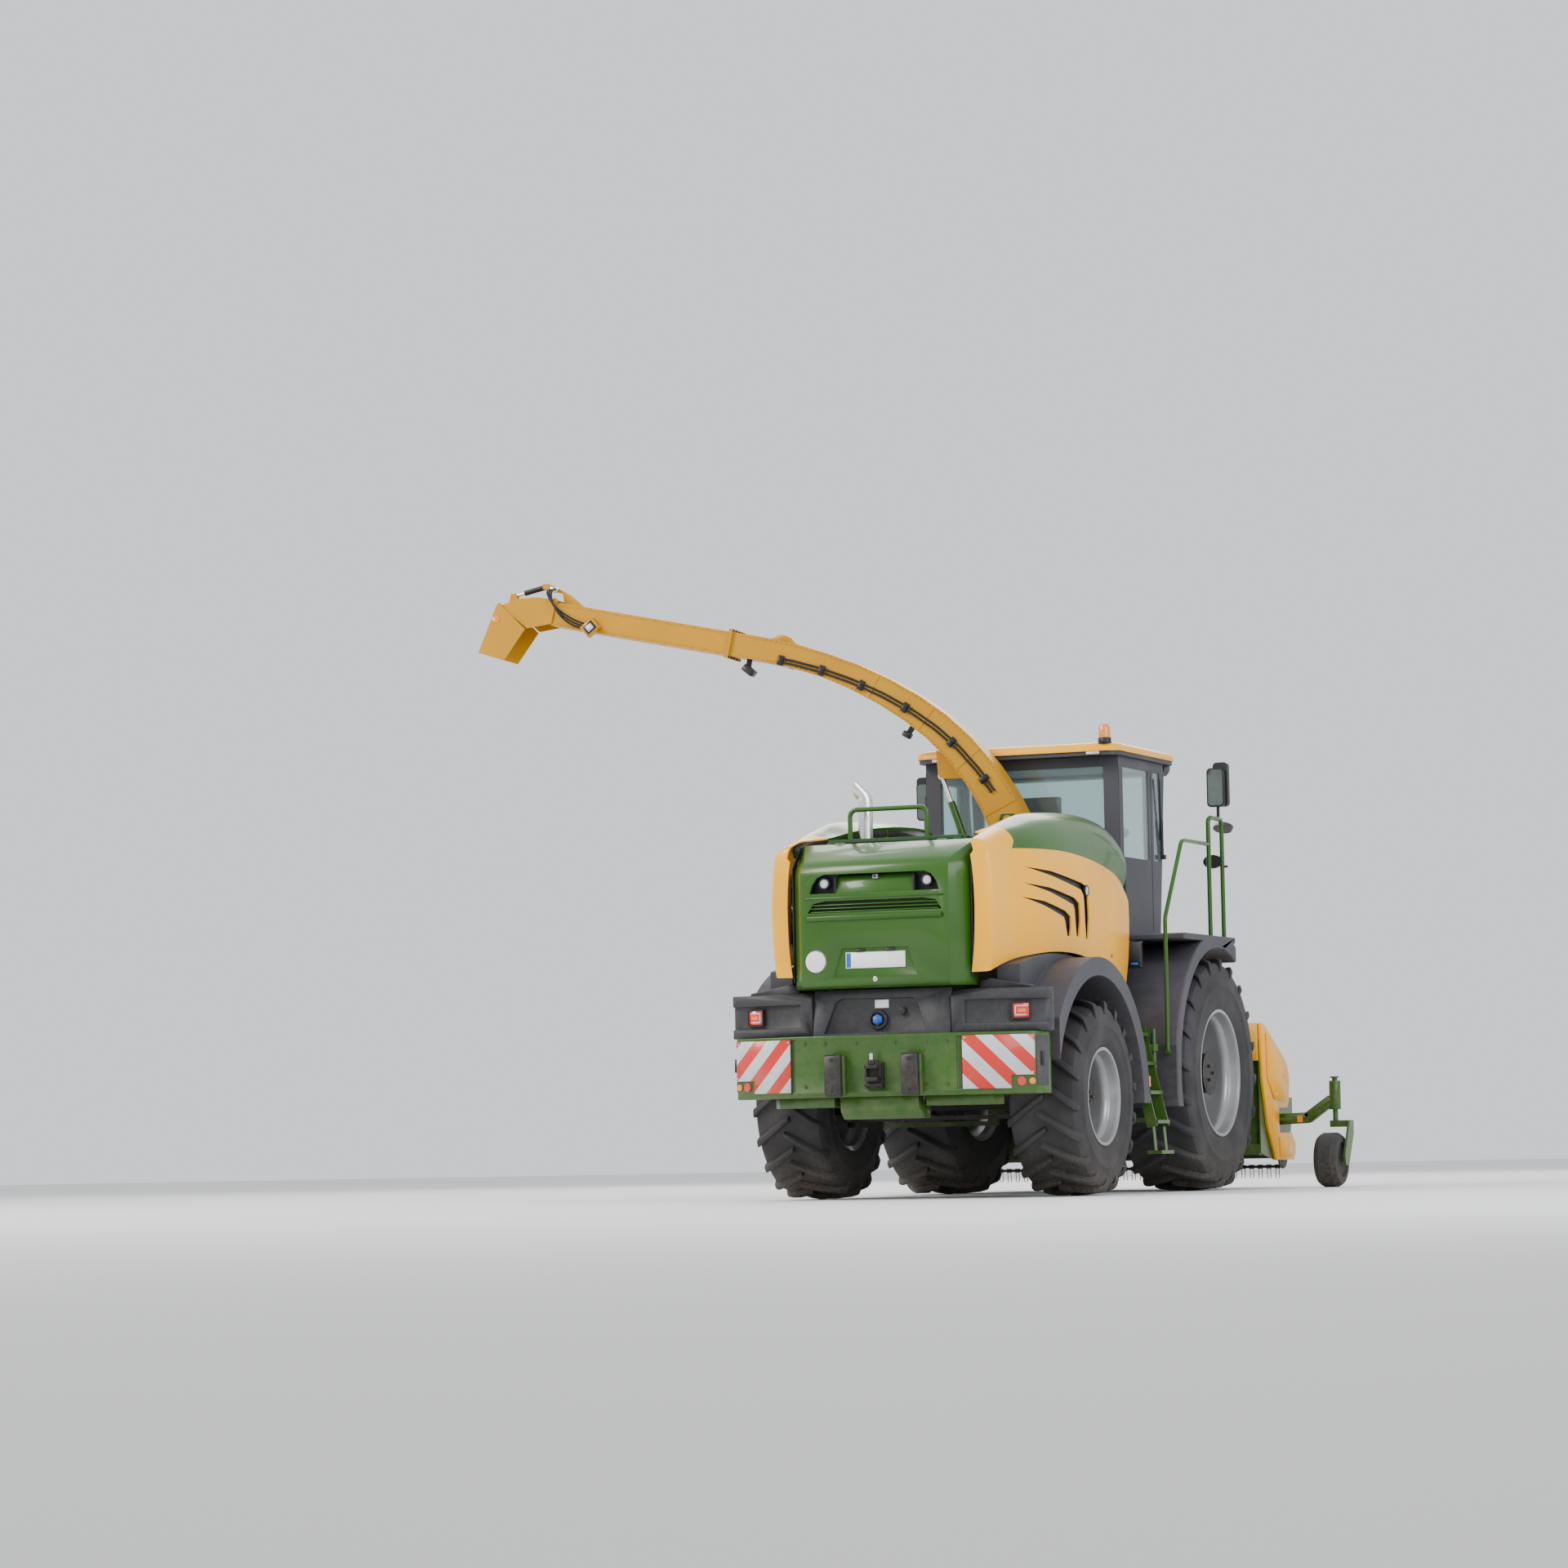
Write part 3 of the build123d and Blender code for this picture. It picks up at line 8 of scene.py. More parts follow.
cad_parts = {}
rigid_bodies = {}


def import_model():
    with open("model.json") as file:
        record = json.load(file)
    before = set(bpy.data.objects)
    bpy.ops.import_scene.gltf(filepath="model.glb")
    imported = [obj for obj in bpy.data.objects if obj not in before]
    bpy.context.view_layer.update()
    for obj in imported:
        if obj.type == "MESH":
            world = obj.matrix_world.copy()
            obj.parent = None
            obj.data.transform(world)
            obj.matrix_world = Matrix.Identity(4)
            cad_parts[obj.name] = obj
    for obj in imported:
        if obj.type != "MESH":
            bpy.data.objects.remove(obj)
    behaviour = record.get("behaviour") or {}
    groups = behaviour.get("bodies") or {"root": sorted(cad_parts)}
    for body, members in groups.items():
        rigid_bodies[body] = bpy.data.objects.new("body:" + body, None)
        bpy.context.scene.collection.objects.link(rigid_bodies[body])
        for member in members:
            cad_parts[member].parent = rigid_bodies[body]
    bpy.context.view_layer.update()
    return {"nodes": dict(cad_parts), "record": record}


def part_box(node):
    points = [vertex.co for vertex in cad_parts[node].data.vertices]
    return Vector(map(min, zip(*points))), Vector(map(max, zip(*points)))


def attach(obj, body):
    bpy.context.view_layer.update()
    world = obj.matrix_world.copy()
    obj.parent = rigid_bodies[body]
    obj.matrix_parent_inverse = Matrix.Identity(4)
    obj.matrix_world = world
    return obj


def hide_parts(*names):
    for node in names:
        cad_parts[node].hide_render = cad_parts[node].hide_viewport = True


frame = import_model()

# The machine's own measure: x to its left, y to its back, z up, from the ground under the rear axle.
REAR_LEFT, REAR_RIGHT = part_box("tyre_rear_left"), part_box("tyre_rear_right")
AXLE_X = (REAR_LEFT[0][0] + REAR_RIGHT[1][0]) / 2
AXLE_Y = (REAR_LEFT[0][1] + REAR_LEFT[1][1]) / 2
FRONT_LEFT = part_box("tyre_front_left")
WHEELBASE = AXLE_Y - (FRONT_LEFT[0][1] + FRONT_LEFT[1][1]) / 2


# ---------------------------------------------------------------- shader values
class Val:
    """A number, colour or vector running through a material; arithmetic on it adds Math nodes."""

    def __init__(self, finish, socket):
        self.finish = finish
        self.socket = socket

    def math(self, operation, other, turned=False):
        first, second = (other, self) if turned else (self, other)
        return self.finish.node("Math", {"operation": operation}, i0=first, i1=second)

    def __add__(self, other):
        return self.math("ADD", other)

    __radd__ = __add__

    def __sub__(self, other):
        return self.math("SUBTRACT", other)

    def __rsub__(self, other):
        return self.math("SUBTRACT", other, True)

    def __mul__(self, other):
        return self.math("MULTIPLY", other)

    __rmul__ = __mul__

    def __truediv__(self, other):
        return self.math("DIVIDE", other)

    def over(self, low, high):
        """0 below low, 1 above high, straight between."""
        return self.finish.node("MapRange", {}, Value=self, From_Min=low, From_Max=high)


class Finish:
    """One material: a shader, its Object coordinates, and a method that adds any node."""

    def __init__(self, name, **constants):
        self.material = bpy.data.materials.new(name)
        self.material.use_nodes = True
        self.tree = self.material.node_tree
        self.shader = self.tree.nodes["Principled BSDF"]
        for key, value in constants.items():
            self.shader.inputs[key.replace("_", " ")].default_value = value
        self.place = self.node("TexCoord", {}, out="Object")

    def node(self, kind, settings, out=0, **values):
        made = self.tree.nodes.new("ShaderNode" + kind)
        for key, value in settings.items():
            if key == "stops":
                ramp = made.color_ramp
                while len(ramp.elements) < len(value):
                    ramp.elements.new(0.5)
                for element, (at, colour) in zip(ramp.elements, value):
                    element.position, element.color = at, colour
            else:
                setattr(made, key, value)
        for key, value in values.items():
            name = int(key[1:]) if key[0] == "i" and key[1:].isdigit() else key.replace("_", " ")
            if isinstance(value, Val):
                self.tree.links.new(value.socket, made.inputs[name])
            else:
                made.inputs[name].default_value = value
        return Val(self, made.outputs[out])

    def noise(self, scale, detail=3.0, rough=0.5, place=None):
        return self.node("TexNoise", {}, Vector=place or self.place, Scale=scale, Detail=detail,
                         Roughness=rough)

    def axis(self, name):
        return self.node("SeparateXYZ", {}, out="XYZ".index(name), Vector=self.place)

    def mix(self, amount, first, second):
        return self.node("Mix", {"data_type": "RGBA"}, out=2, i0=amount, i6=first, i7=second)

    def feed(self, **values):
        for key, value in values.items():
            self.tree.links.new(value.socket, self.shader.inputs[key.replace("_", " ")])
        return self

    def bump(self, height, strength, distance):
        self.feed(Normal=self.node("Bump", {}, Strength=strength, Distance=distance, Height=height))
        return self


DUST = (0.20, 0.15, 0.09, 1)


def coat_of_paint(name, colour, rough=0.3, coat=0.7, dirt=0.5):
    """Sprayed paint: a slight orange peel, patchy sheen, and field dust that thins out upwards."""
    f = Finish(name, Coat_Weight=coat, Coat_Roughness=0.08, Specular_IOR_Level=0.3)
    broad, fine = f.noise(0.9, 4.0), f.noise(11.0, 6.0, 0.65)
    dust = (1 - f.axis("Z").over(0.2, 1.9)) * fine.over(0.35, 0.75) * dirt
    deep = tuple(0.82 * c for c in colour) + (1,)
    tone = f.mix(broad.over(0.3, 0.7), deep, colour + (1,))
    f.feed(Base_Color=f.mix(dust, tone, DUST), Roughness=rough + 0.45 * dust + 0.12 * (fine - 0.5))
    return f.bump(f.noise(160.0, 2.0), 0.05, 0.002).material


def moulded(name, colour, rough=0.52, grain=520.0, dirt=0.35):
    """Grained plastic moulding with scuffs and dust."""
    f = Finish(name, Specular_IOR_Level=0.4)
    broad, fine = f.noise(1.3, 4.0), f.noise(17.0, 6.0, 0.7)
    dust = (1 - f.axis("Z").over(0.4, 2.4)) * fine.over(0.4, 0.8) * dirt
    pale = tuple(min(1, 1.25 * c + 0.004) for c in colour) + (1,)
    tone = f.mix(broad.over(0.35, 0.75), colour + (1,), pale)
    f.feed(Base_Color=f.mix(dust, tone, DUST), Roughness=rough + 0.25 * dust - 0.1 * broad.over(0.5, 0.8))
    return f.bump(f.noise(grain, 2.0), 0.12, 0.001).material


def bare_metal(name, colour, rough=0.25, scratch=0.3):
    """Worn metal with fine streaks and smears of grease."""
    f = Finish(name, Metallic=1.0)
    stretched = f.node("Mapping", {}, Vector=f.place, Scale=(1.0, 14.0, 1.0))
    streak, smear = f.noise(60.0, 4.0, 0.6, stretched), f.noise(5.0, 5.0)
    dull = tuple(0.55 * c for c in colour) + (1,)
    f.feed(Base_Color=f.mix(smear.over(0.45, 0.75) * 0.5, colour + (1,), dull),
           Roughness=rough + scratch * streak * 0.6)
    return f.bump(streak, 0.06, 0.001).material


def rubber(name, colour=(0.022, 0.021, 0.022)):
    """Tyre rubber: dull, scuffed, with dry soil on what touches the ground."""
    f = Finish(name, Specular_IOR_Level=0.35)
    broad, fine = f.noise(3.0, 5.0), f.noise(40.0, 8.0, 0.7)
    splashed = (1 - f.axis("Z").over(0.02, 0.5)) * fine.over(0.4, 0.7) * 0.5
    soil = splashed + broad.over(0.5, 0.8) * fine.over(0.45, 0.7) * 0.22
    worn = tuple(2.1 * c for c in colour) + (1,)
    f.feed(Base_Color=f.mix(soil, f.mix(broad.over(0.3, 0.7), colour + (1,), worn), DUST),
           Roughness=0.62 + 0.25 * fine)
    return f.bump(f.noise(90.0, 6.0, 0.7), 0.25, 0.002).material


def window_glass(name, colour, clear=0.92):
    """Tinted pane with a thin film of dust."""
    f = Finish(name, Transmission_Weight=clear, IOR=1.45)
    film = f.noise(2.5, 6.0, 0.6).over(0.45, 0.85)
    f.feed(Base_Color=f.mix(film * 0.18, colour + (1,), (0.5, 0.52, 0.5, 1)), Roughness=0.02 + 0.1 * film)
    return f.material


def lens(name, colour, glow=0.0):
    """Lamp lens with a moulded pattern of small squares."""
    f = Finish(name, Coat_Weight=1.0, Coat_Roughness=0.03, Emission_Strength=glow)
    cells = f.node("TexChecker", {}, out=1, Vector=f.place, Scale=190.0)
    deep = tuple(0.55 * c for c in colour) + (1,)
    tone = f.mix(cells, colour + (1,), deep)
    f.feed(Base_Color=tone, Emission_Color=tone, Roughness=0.12 + 0.1 * f.noise(60.0))
    return f.bump(cells, 0.2, 0.002).material


def warning_stripes(name):
    """Reflective film: slanting red and white bars, leaning outwards on either side."""
    f = Finish(name, Coat_Weight=0.2, Coat_Roughness=0.1)
    x = f.axis("X") - AXLE_X
    across = f.node("Math", {"operation": "ABSOLUTE"}, i0=x)
    ramp = (across + f.axis("Z") * 0.97) / 0.265
    saw = f.node("Math", {"operation": "FRACT"}, i0=ramp)
    red = saw.over(0.495, 0.505)
    grid = f.node("TexVoronoi", {"feature": "DISTANCE_TO_EDGE"}, Vector=f.place, Scale=70.0)
    tone = f.mix(red, (0.55, 0.57, 0.58, 1), (0.60, 0.016, 0.008, 1))
    f.feed(Base_Color=f.mix(f.noise(6.0, 6.0).over(0.5, 0.8) * 0.35, tone, DUST), Roughness=0.3 + 0.3 * grid)
    return f.material


def woven(name, colour):
    """Seat cloth: a fine basket weave."""
    f = Finish(name, Sheen_Weight=0.3)
    a = f.node("TexWave", {"bands_direction": "X"}, out=1, Vector=f.place, Scale=210.0)
    b = f.node("TexWave", {"bands_direction": "Z"}, out=1, Vector=f.place, Scale=210.0)
    pale = tuple(2.0 * c for c in colour) + (1,)
    weave = a * b
    f.feed(Base_Color=f.mix(weave, colour + (1,), pale), Roughness=0.85 + 0.1 * weave)
    return f.bump(weave, 0.4, 0.001).material


GREEN = coat_of_paint("body green paint", (0.028, 0.100, 0.006), 0.34, 0.25)
DARK_GREEN = coat_of_paint("frame green paint", (0.020, 0.070, 0.014), 0.45, 0.3, 0.8)
YELLOW = coat_of_paint("panel yellow gloss", (1.0, 0.455, 0.006), 0.34, 0.10, 0.2)
SPOUT_YELLOW = coat_of_paint("spout yellow paint", (0.56, 0.265, 0.004), 0.42, 0.05, 0.3)
GREY = moulded("grey moulding", (0.040, 0.040, 0.049))
# a darker copy of the grey moulding, used only on the rear panels: painted shade, matched to the shaded rear
# face
SHADED_GREY = moulded("grey moulding in painted shade", (0.022, 0.023, 0.028))
BLACK = moulded("black moulding", (0.012, 0.012, 0.013), 0.45)
IRON = coat_of_paint("black iron", (0.012, 0.012, 0.013), 0.55, 0.10, 0.3)
SILVER = coat_of_paint("silver wheel paint", (0.34, 0.345, 0.35), 0.30, 0.3, 0.3)
SILVER.node_tree.nodes["Principled BSDF"].inputs["Metallic"].default_value = 0.6
RUBBER = rubber("tyre rubber")
CHROME = bare_metal("bright steel", (0.80, 0.79, 0.77), 0.12)
GLASS = window_glass("tinted glass", (0.62, 0.78, 0.78))
CLEAR = lens("clear lens", (0.75, 0.76, 0.74))
RED = lens("red lens", (0.72, 0.02, 0.015), 0.15)
# the amber lens glows a little; on the reflectors and marks that wear it, which are no lamps, this is a painted
# glow
AMBER = lens("amber lens", (0.95, 0.26, 0.01), 0.2)
BLUE = moulded("blue cap", (0.01, 0.09, 0.42), 0.35)
WHITE = moulded("white plate", (0.72, 0.73, 0.74), 0.35)
BARS = warning_stripes("warning film")
CLOTH = woven("seat cloth", (0.02, 0.02, 0.024))


# ---------------------------------------------------------------- forms
# an outline turned about an axis closes this near to it
MIDDLE = 0.0002


def smooth_line(points, steps):
    """Points on a Catmull-Rom line through the given ones, of any length of tuple."""
    out = []
    last = len(points) - 1
    for i in range(last):
        a, b, c, d = points[max(i - 1, 0)], points[i], points[i + 1], points[min(i + 2, last)]
        for k in range(steps):
            t = k / steps
            out.append(tuple(
                0.5 * (2 * q + (r - p) * t + (2 * p - 5 * q + 4 * r - s) * t * t
                        + (3 * q - p - 3 * r + s) * t ** 3)
                for p, q, r, s in zip(a, b, c, d)))
    return out + [tuple(points[-1])]


class Form:
    """A mesh under construction, in the machine's own measure."""

    def __init__(self):
        self.bm = bmesh.new()

    def skin(self, rings, closed=True, ends=True):
        """Faces between rings of points; closed joins each ring's ends, ends caps the first and last."""
        rows = [[self.bm.verts.new(p) for p in ring] for ring in rings]
        count = len(rows[0])
        for low, high in zip(rows, rows[1:]):
            for i in range(count if closed else count - 1):
                j = (i + 1) % count
                self.bm.faces.new((low[i], low[j], high[j], high[i]))
        if ends and closed:
            self.bm.faces.new(rows[0][::-1])
            self.bm.faces.new(rows[-1])
        return self

    def block(self, x0, x1, y0, y1, z0, z1):
        return self.prism([(x0, y0), (x1, y0), (x1, y1), (x0, y1)], "Z", z0, z1)

    def prism(self, outline, axis, low, high):
        """An outline in the two other directions, in X, Y, Z order, drawn out along an axis."""
        def lift(p, d):
            return {"X": (d, p[0], p[1]), "Y": (p[0], d, p[1]), "Z": (p[0], p[1], d)}[axis]
        return self.skin([[lift(p, low) for p in outline], [lift(p, high) for p in outline]])

    def turned(self, outline, centre, axis="X", steps=64):
        """An outline of (radius, distance along the axis), turned about the axis through centre."""
        rings = []
        for i in range(steps):
            a = 2 * pi * i / steps
            c, s = cos(a), sin(a)
            ring = []
            for r, d in outline:
                p = {"X": (d, r * c, r * s), "Y": (r * s, d, r * c), "Z": (r * c, r * s, d)}[axis]
                ring.append(tuple(q + o for q, o in zip(p, centre)))
            rings.append(ring)
        rows = [[self.bm.verts.new(p) for p in ring] for ring in rings]
        count = len(outline)
        for i in range(steps):
            low, high = rows[i], rows[(i + 1) % steps]
            for k in range(count):
                m = (k + 1) % count
                self.bm.faces.new((low[k], low[m], high[m], high[k]))
        return self

    def rod(self, a, b, radius, sides=16):
        """A round rod from a to b."""
        a, b = Vector(a), Vector(b)
        along = (b - a).normalized()
        side = along.orthogonal().normalized()
        up = along.cross(side)
        rings = []
        for p in (a, b):
            rings.append([p + radius * (cos(2 * pi * i / sides) * side + sin(2 * pi * i / sides) * up)
                          for i in range(sides)])
        return self.skin([[tuple(v) for v in ring] for ring in rings])

    def bar(self, a, b, wide, high, up=(0, 0, 1)):
        """A flat bar from a to b, wide across and high along up."""
        a, b = Vector(a), Vector(b)
        side = (b - a).cross(Vector(up)).normalized() * wide / 2
        rise = side.cross(b - a).normalized() * high / 2
        corners = ((1, 1), (-1, 1), (-1, -1), (1, -1))
        return self.skin([[tuple(p + s * side + r * rise) for s, r in corners] for p in (a, b)])

    def mirrored(self):
        """Adds the same on the machine's other side."""
        made = bmesh.ops.duplicate(self.bm, geom=self.bm.verts[:] + self.bm.edges[:] + self.bm.faces[:])["geom"]
        bmesh.ops.scale(self.bm, vec=(-1, 1, 1), verts=[v for v in made if isinstance(v, bmesh.types.BMVert)])
        bmesh.ops.reverse_faces(self.bm, faces=[v for v in made if isinstance(v, bmesh.types.BMFace)])
        return self

    def flipped(self):
        """Puts the whole form on the machine's other side."""
        bmesh.ops.scale(self.bm, vec=(-1, 1, 1), verts=self.bm.verts[:])
        bmesh.ops.reverse_faces(self.bm, faces=self.bm.faces[:])
        return self

    def moved(self, matrix):
        self.bm.transform(matrix)
        return self

    def mesh(self, name, lift=True):
        bmesh.ops.remove_doubles(self.bm, verts=self.bm.verts[:], dist=0.00001)
        bmesh.ops.recalc_face_normals(self.bm, faces=self.bm.faces[:])
        if lift:
            self.bm.transform(Matrix.Translation((AXLE_X, AXLE_Y, 0)))
        mesh = bpy.data.meshes.new(name)
        self.bm.to_mesh(mesh)
        self.bm.free()
        return mesh


def settle(piece):
    """Applies a piece's modifiers and gives it smooth faces with sharp edges kept."""
    graph = bpy.context.evaluated_depsgraph_get()
    mesh = bpy.data.meshes.new_from_object(piece.evaluated_get(graph))
    piece.modifiers.clear()
    piece.data = mesh
    work = bmesh.new()
    work.from_mesh(mesh)
    for face in work.faces:
        face.smooth = True
    for edge in work.edges:
        edge.smooth = len(edge.link_faces) == 2 and edge.calc_face_angle(0) < radians(38)
    work.to_mesh(mesh)
    work.free()
    return piece


# edges that turn by more than this are rounded
SHARP = radians(35)


def piece(name, form, body, slot, material, edge=0.0, segments=2, wall=0.0, cut=None, replaces=()):
    """Finishes a form: wall thickness, cut-outs, rounded edges, finish and body; the slot argument is not used.
    """
    made = bpy.data.objects.new(name, form.mesh(name) if isinstance(form, Form) else form)
    bpy.context.scene.collection.objects.link(made)
    if wall:
        shell = made.modifiers.new("wall", "SOLIDIFY")
        shell.thickness, shell.offset = wall, -1
    if cut:
        tool = bpy.data.objects.new(name + "_tool", cut.mesh(name + "_tool"))
        bpy.context.scene.collection.objects.link(tool)
        knife = made.modifiers.new("cut", "BOOLEAN")
        knife.operation, knife.object, knife.solver, knife.use_self = "DIFFERENCE", tool, "EXACT", True
    if edge:
        bevel = made.modifiers.new("edge", "BEVEL")
        bevel.width, bevel.segments = edge, segments
        bevel.limit_method, bevel.angle_limit = "ANGLE", SHARP
        bevel.harden_normals = True
    made.data.materials.append(material)
    settle(made)
    if cut:
        bpy.data.objects.remove(tool)
    made.data.materials.clear()
    made.data.materials.append(material)
    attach(made, body)
    if replaces:
        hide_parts(*replaces)
    return made


# ---------------------------------------------------------------- what repeats, and what follows a path
class Tree:
    """A Geometry Nodes tree with named inputs."""

    def __init__(self, name, **inputs):
        self.group = bpy.data.node_groups.new(name, "GeometryNodeTree")
        self.ids = {}
        self.group.interface.new_socket("Geometry", in_out="INPUT", socket_type="NodeSocketGeometry")
        for key, kind in inputs.items():
            made = self.group.interface.new_socket(key, in_out="INPUT", socket_type="NodeSocket" + kind)
            self.ids[key] = made.identifier
        self.group.interface.new_socket("Geometry", in_out="OUTPUT", socket_type="NodeSocketGeometry")
        self.start = self.group.nodes.new("NodeGroupInput")

    def add(self, kind, settings, **links):
        made = self.group.nodes.new(kind)
        for key, value in settings.items():
            setattr(made, key, value)
        for key, value in links.items():
            socket = made.inputs[key.replace("_", " ")]
            if isinstance(value, bpy.types.NodeSocket):
                self.group.links.new(value, socket)
            else:
                socket.default_value = value
        return made

    def end(self, geometry):
        real = self.add("GeometryNodeRealizeInstances", {}, Geometry=geometry)
        painted = self.add("GeometryNodeSetMaterial", {}, Geometry=real.outputs[0],
                           Material=self.start.outputs["Finish"])
        out = self.group.nodes.new("NodeGroupOutput")
        self.group.links.new(painted.outputs[0], out.inputs[0])
        return self

    def run(self, name, mesh, **values):
        """Puts the tree on a mesh and returns the plain mesh that comes out."""
        holder = bpy.data.objects.new(name, mesh)
        bpy.context.scene.collection.objects.link(holder)
        nodes = holder.modifiers.new("tree", "NODES")
        nodes.node_group = self.group
        for key, value in values.items():
            nodes[self.ids[key]] = value
        graph = bpy.context.evaluated_depsgraph_get()
        made = bpy.data.meshes.new_from_object(holder.evaluated_get(graph))
        bpy.data.objects.remove(holder)
        return made


def repeating_tree():
    """Copies of a small piece on points, each turned as the point's own attribute says."""
    tree = Tree("copies on points", Piece="Object", Size="Float", Finish="Material")
    info = tree.add("GeometryNodeObjectInfo", {}, Object=tree.start.outputs["Piece"])
    turn = tree.add("GeometryNodeInputNamedAttribute", {"data_type": "FLOAT_VECTOR"}, Name="turn")
    spread = tree.add("GeometryNodeInstanceOnPoints", {}, Points=tree.start.outputs["Geometry"],
                      Instance=info.outputs["Geometry"], Rotation=turn.outputs[0],
                      Scale=tree.start.outputs["Size"])
    return tree.end(spread.outputs[0])


def piping_tree():
    """A round pipe along a line of points, with its corners bent."""
    tree = Tree("pipe along a line", Radius="Float", Bend="Float", Finish="Material")
    line = tree.add("GeometryNodeMeshToCurve", {}, Mesh=tree.start.outputs["Geometry"])
    bent = tree.add("GeometryNodeFilletCurve", {"mode": "POLY"}, Curve=line.outputs[0], Count=6,
                    Radius=tree.start.outputs["Bend"], Limit_Radius=True)
    ring = tree.add("GeometryNodeCurvePrimitiveCircle", {}, Resolution=16, Radius=tree.start.outputs["Radius"])
    pipe = tree.add("GeometryNodeCurveToMesh", {}, Curve=bent.outputs[0], Profile_Curve=ring.outputs[0],
                    Fill_Caps=True)
    return tree.end(pipe.outputs[0])


REPEATING = repeating_tree()
PIPING = piping_tree()


def copies(name, form, places, body, slot, material, edge=0.0):
    """Copies of a small form at (place, turn) pairs, all one piece."""
    small = bpy.data.objects.new(name + "_one", form.mesh(name + "_one", False))
    bpy.context.scene.collection.objects.link(small)
    if edge:
        bevel = small.modifiers.new("edge", "BEVEL")
        bevel.width, bevel.segments = edge, 1
        bevel.limit_method, bevel.angle_limit = "ANGLE", SHARP
    settle(small)
    points = bpy.data.meshes.new(name + "_points")
    shift = Vector((AXLE_X, AXLE_Y, 0))
    points.from_pydata([tuple(Vector(p) + shift) for p, turn in places], [], [])
    turns = points.attributes.new("turn", "FLOAT_VECTOR", "POINT")
    for item, (p, turn) in zip(turns.data, places):
        item.vector = turn
    mesh = REPEATING.run(name + "_spread", points, Piece=small, Size=1.0, Finish=material)
    bpy.data.objects.remove(small)
    return piece(name, mesh, body, slot, material)


def pipes(name, lines, radius, body, slot, material, bend=0.05):
    """Round pipes along lines of points, all one piece."""
    mesh = bpy.data.meshes.new(name + "_lines")
    points, edges = [], []
    for line in lines:
        start = len(points)
        points += [(x + AXLE_X, y + AXLE_Y, z) for x, y, z in line]
        edges += [(start + i, start + i + 1) for i in range(len(line) - 1)]
    mesh.from_pydata(points, edges, [])
    made = PIPING.run(name + "_run", mesh, Radius=radius, Bend=bend, Finish=material)
    return piece(name, made, body, slot, material)


def bolt(radius, high):
    """A hexagon head on its washer, standing along X."""
    washer_r, washer = 1.35 * radius, 0.2 * high
    form = Form().turned([(0.0001, 0), (washer_r, 0), (washer_r, washer), (0.0001, washer)], (0, 0, 0), "X", 16)
    head = [(radius * cos(pi * i / 3), radius * sin(pi * i / 3)) for i in range(6)]
    return form.prism(head, "X", washer, high)


def facing(x, y):
    """The turn that points a bolt along (x, y), level."""
    return tuple(Vector((1, 0, 0)).rotation_difference(Vector((x, y, 0))).to_euler())


# ---------------------------------------------------------------- wheels
FRONT_X, FRONT_R = 1.130, 1.030
REAR_X, REAR_R = 1.125, 0.812
# body, end of the tyre's and rim's names, side, centre x, centre y, tyre radius, half width, rim radius,
# lugs a side, lag, disc, hub radius, hub face
WHEELS = [
    ("front_wheel_left", "front_left", 1, FRONT_X, -WHEELBASE, FRONT_R, 0.355, 0.534, 20, 0.27, 0.040, 0.205,
     0.225),
    ("front_wheel_right", "front_right", -1, FRONT_X, -WHEELBASE, FRONT_R, 0.355, 0.534, 20, 0.27, 0.040, 0.205,
     0.225),
    ("rear_wheel_left", "rear_left", 1, REAR_X, 0.0, REAR_R, 0.310, 0.381, 18, 0.23, 0.030, 0.140, 0.150),
    ("rear_wheel_right", "rear_right", -1, REAR_X, 0.0, REAR_R, 0.310, 0.381, 18, 0.23, 0.030, 0.140, 0.150),
]


def lug(radius, half, lag, hand):
    """One tread bar from past the middle to the shoulder and down the side, about the wheel's axis."""
    # share of the half width, drop of the top, drop of the foot, share of the lag,
    # half thickness at top and foot
    stations = [(-0.10, 0.000, 0.056, 0.00, 0.016, 0.030), (0.10, 0.000, 0.056, 0.16, 0.021, 0.036),
                (0.45, 0.004, 0.058, 0.50, 0.024, 0.040), (0.78, 0.014, 0.066, 0.84, 0.027, 0.044),
                (0.93, 0.026, 0.078, 0.98, 0.029, 0.046), (0.985, 0.066, 0.105, 1.06, 0.027, 0.040),
                (0.995, 0.130, 0.150, 1.12, 0.016, 0.024)]
    rings = []
    for across, top, foot, late, thin, thick in stations:
        w = hand * half * across
        deep = hand * half * min(across, 0.955)
        ring = []
        for r, x, t in ((radius - foot, deep, -thick), (radius - top, w, -thin), (radius - top, w, thin),
                        (radius - foot, deep, thick)):
            a = (late * lag + t) / radius
            ring.append((x, r * sin(a), r * cos(a)))
        rings.append(ring)
    return Form().skin(rings)


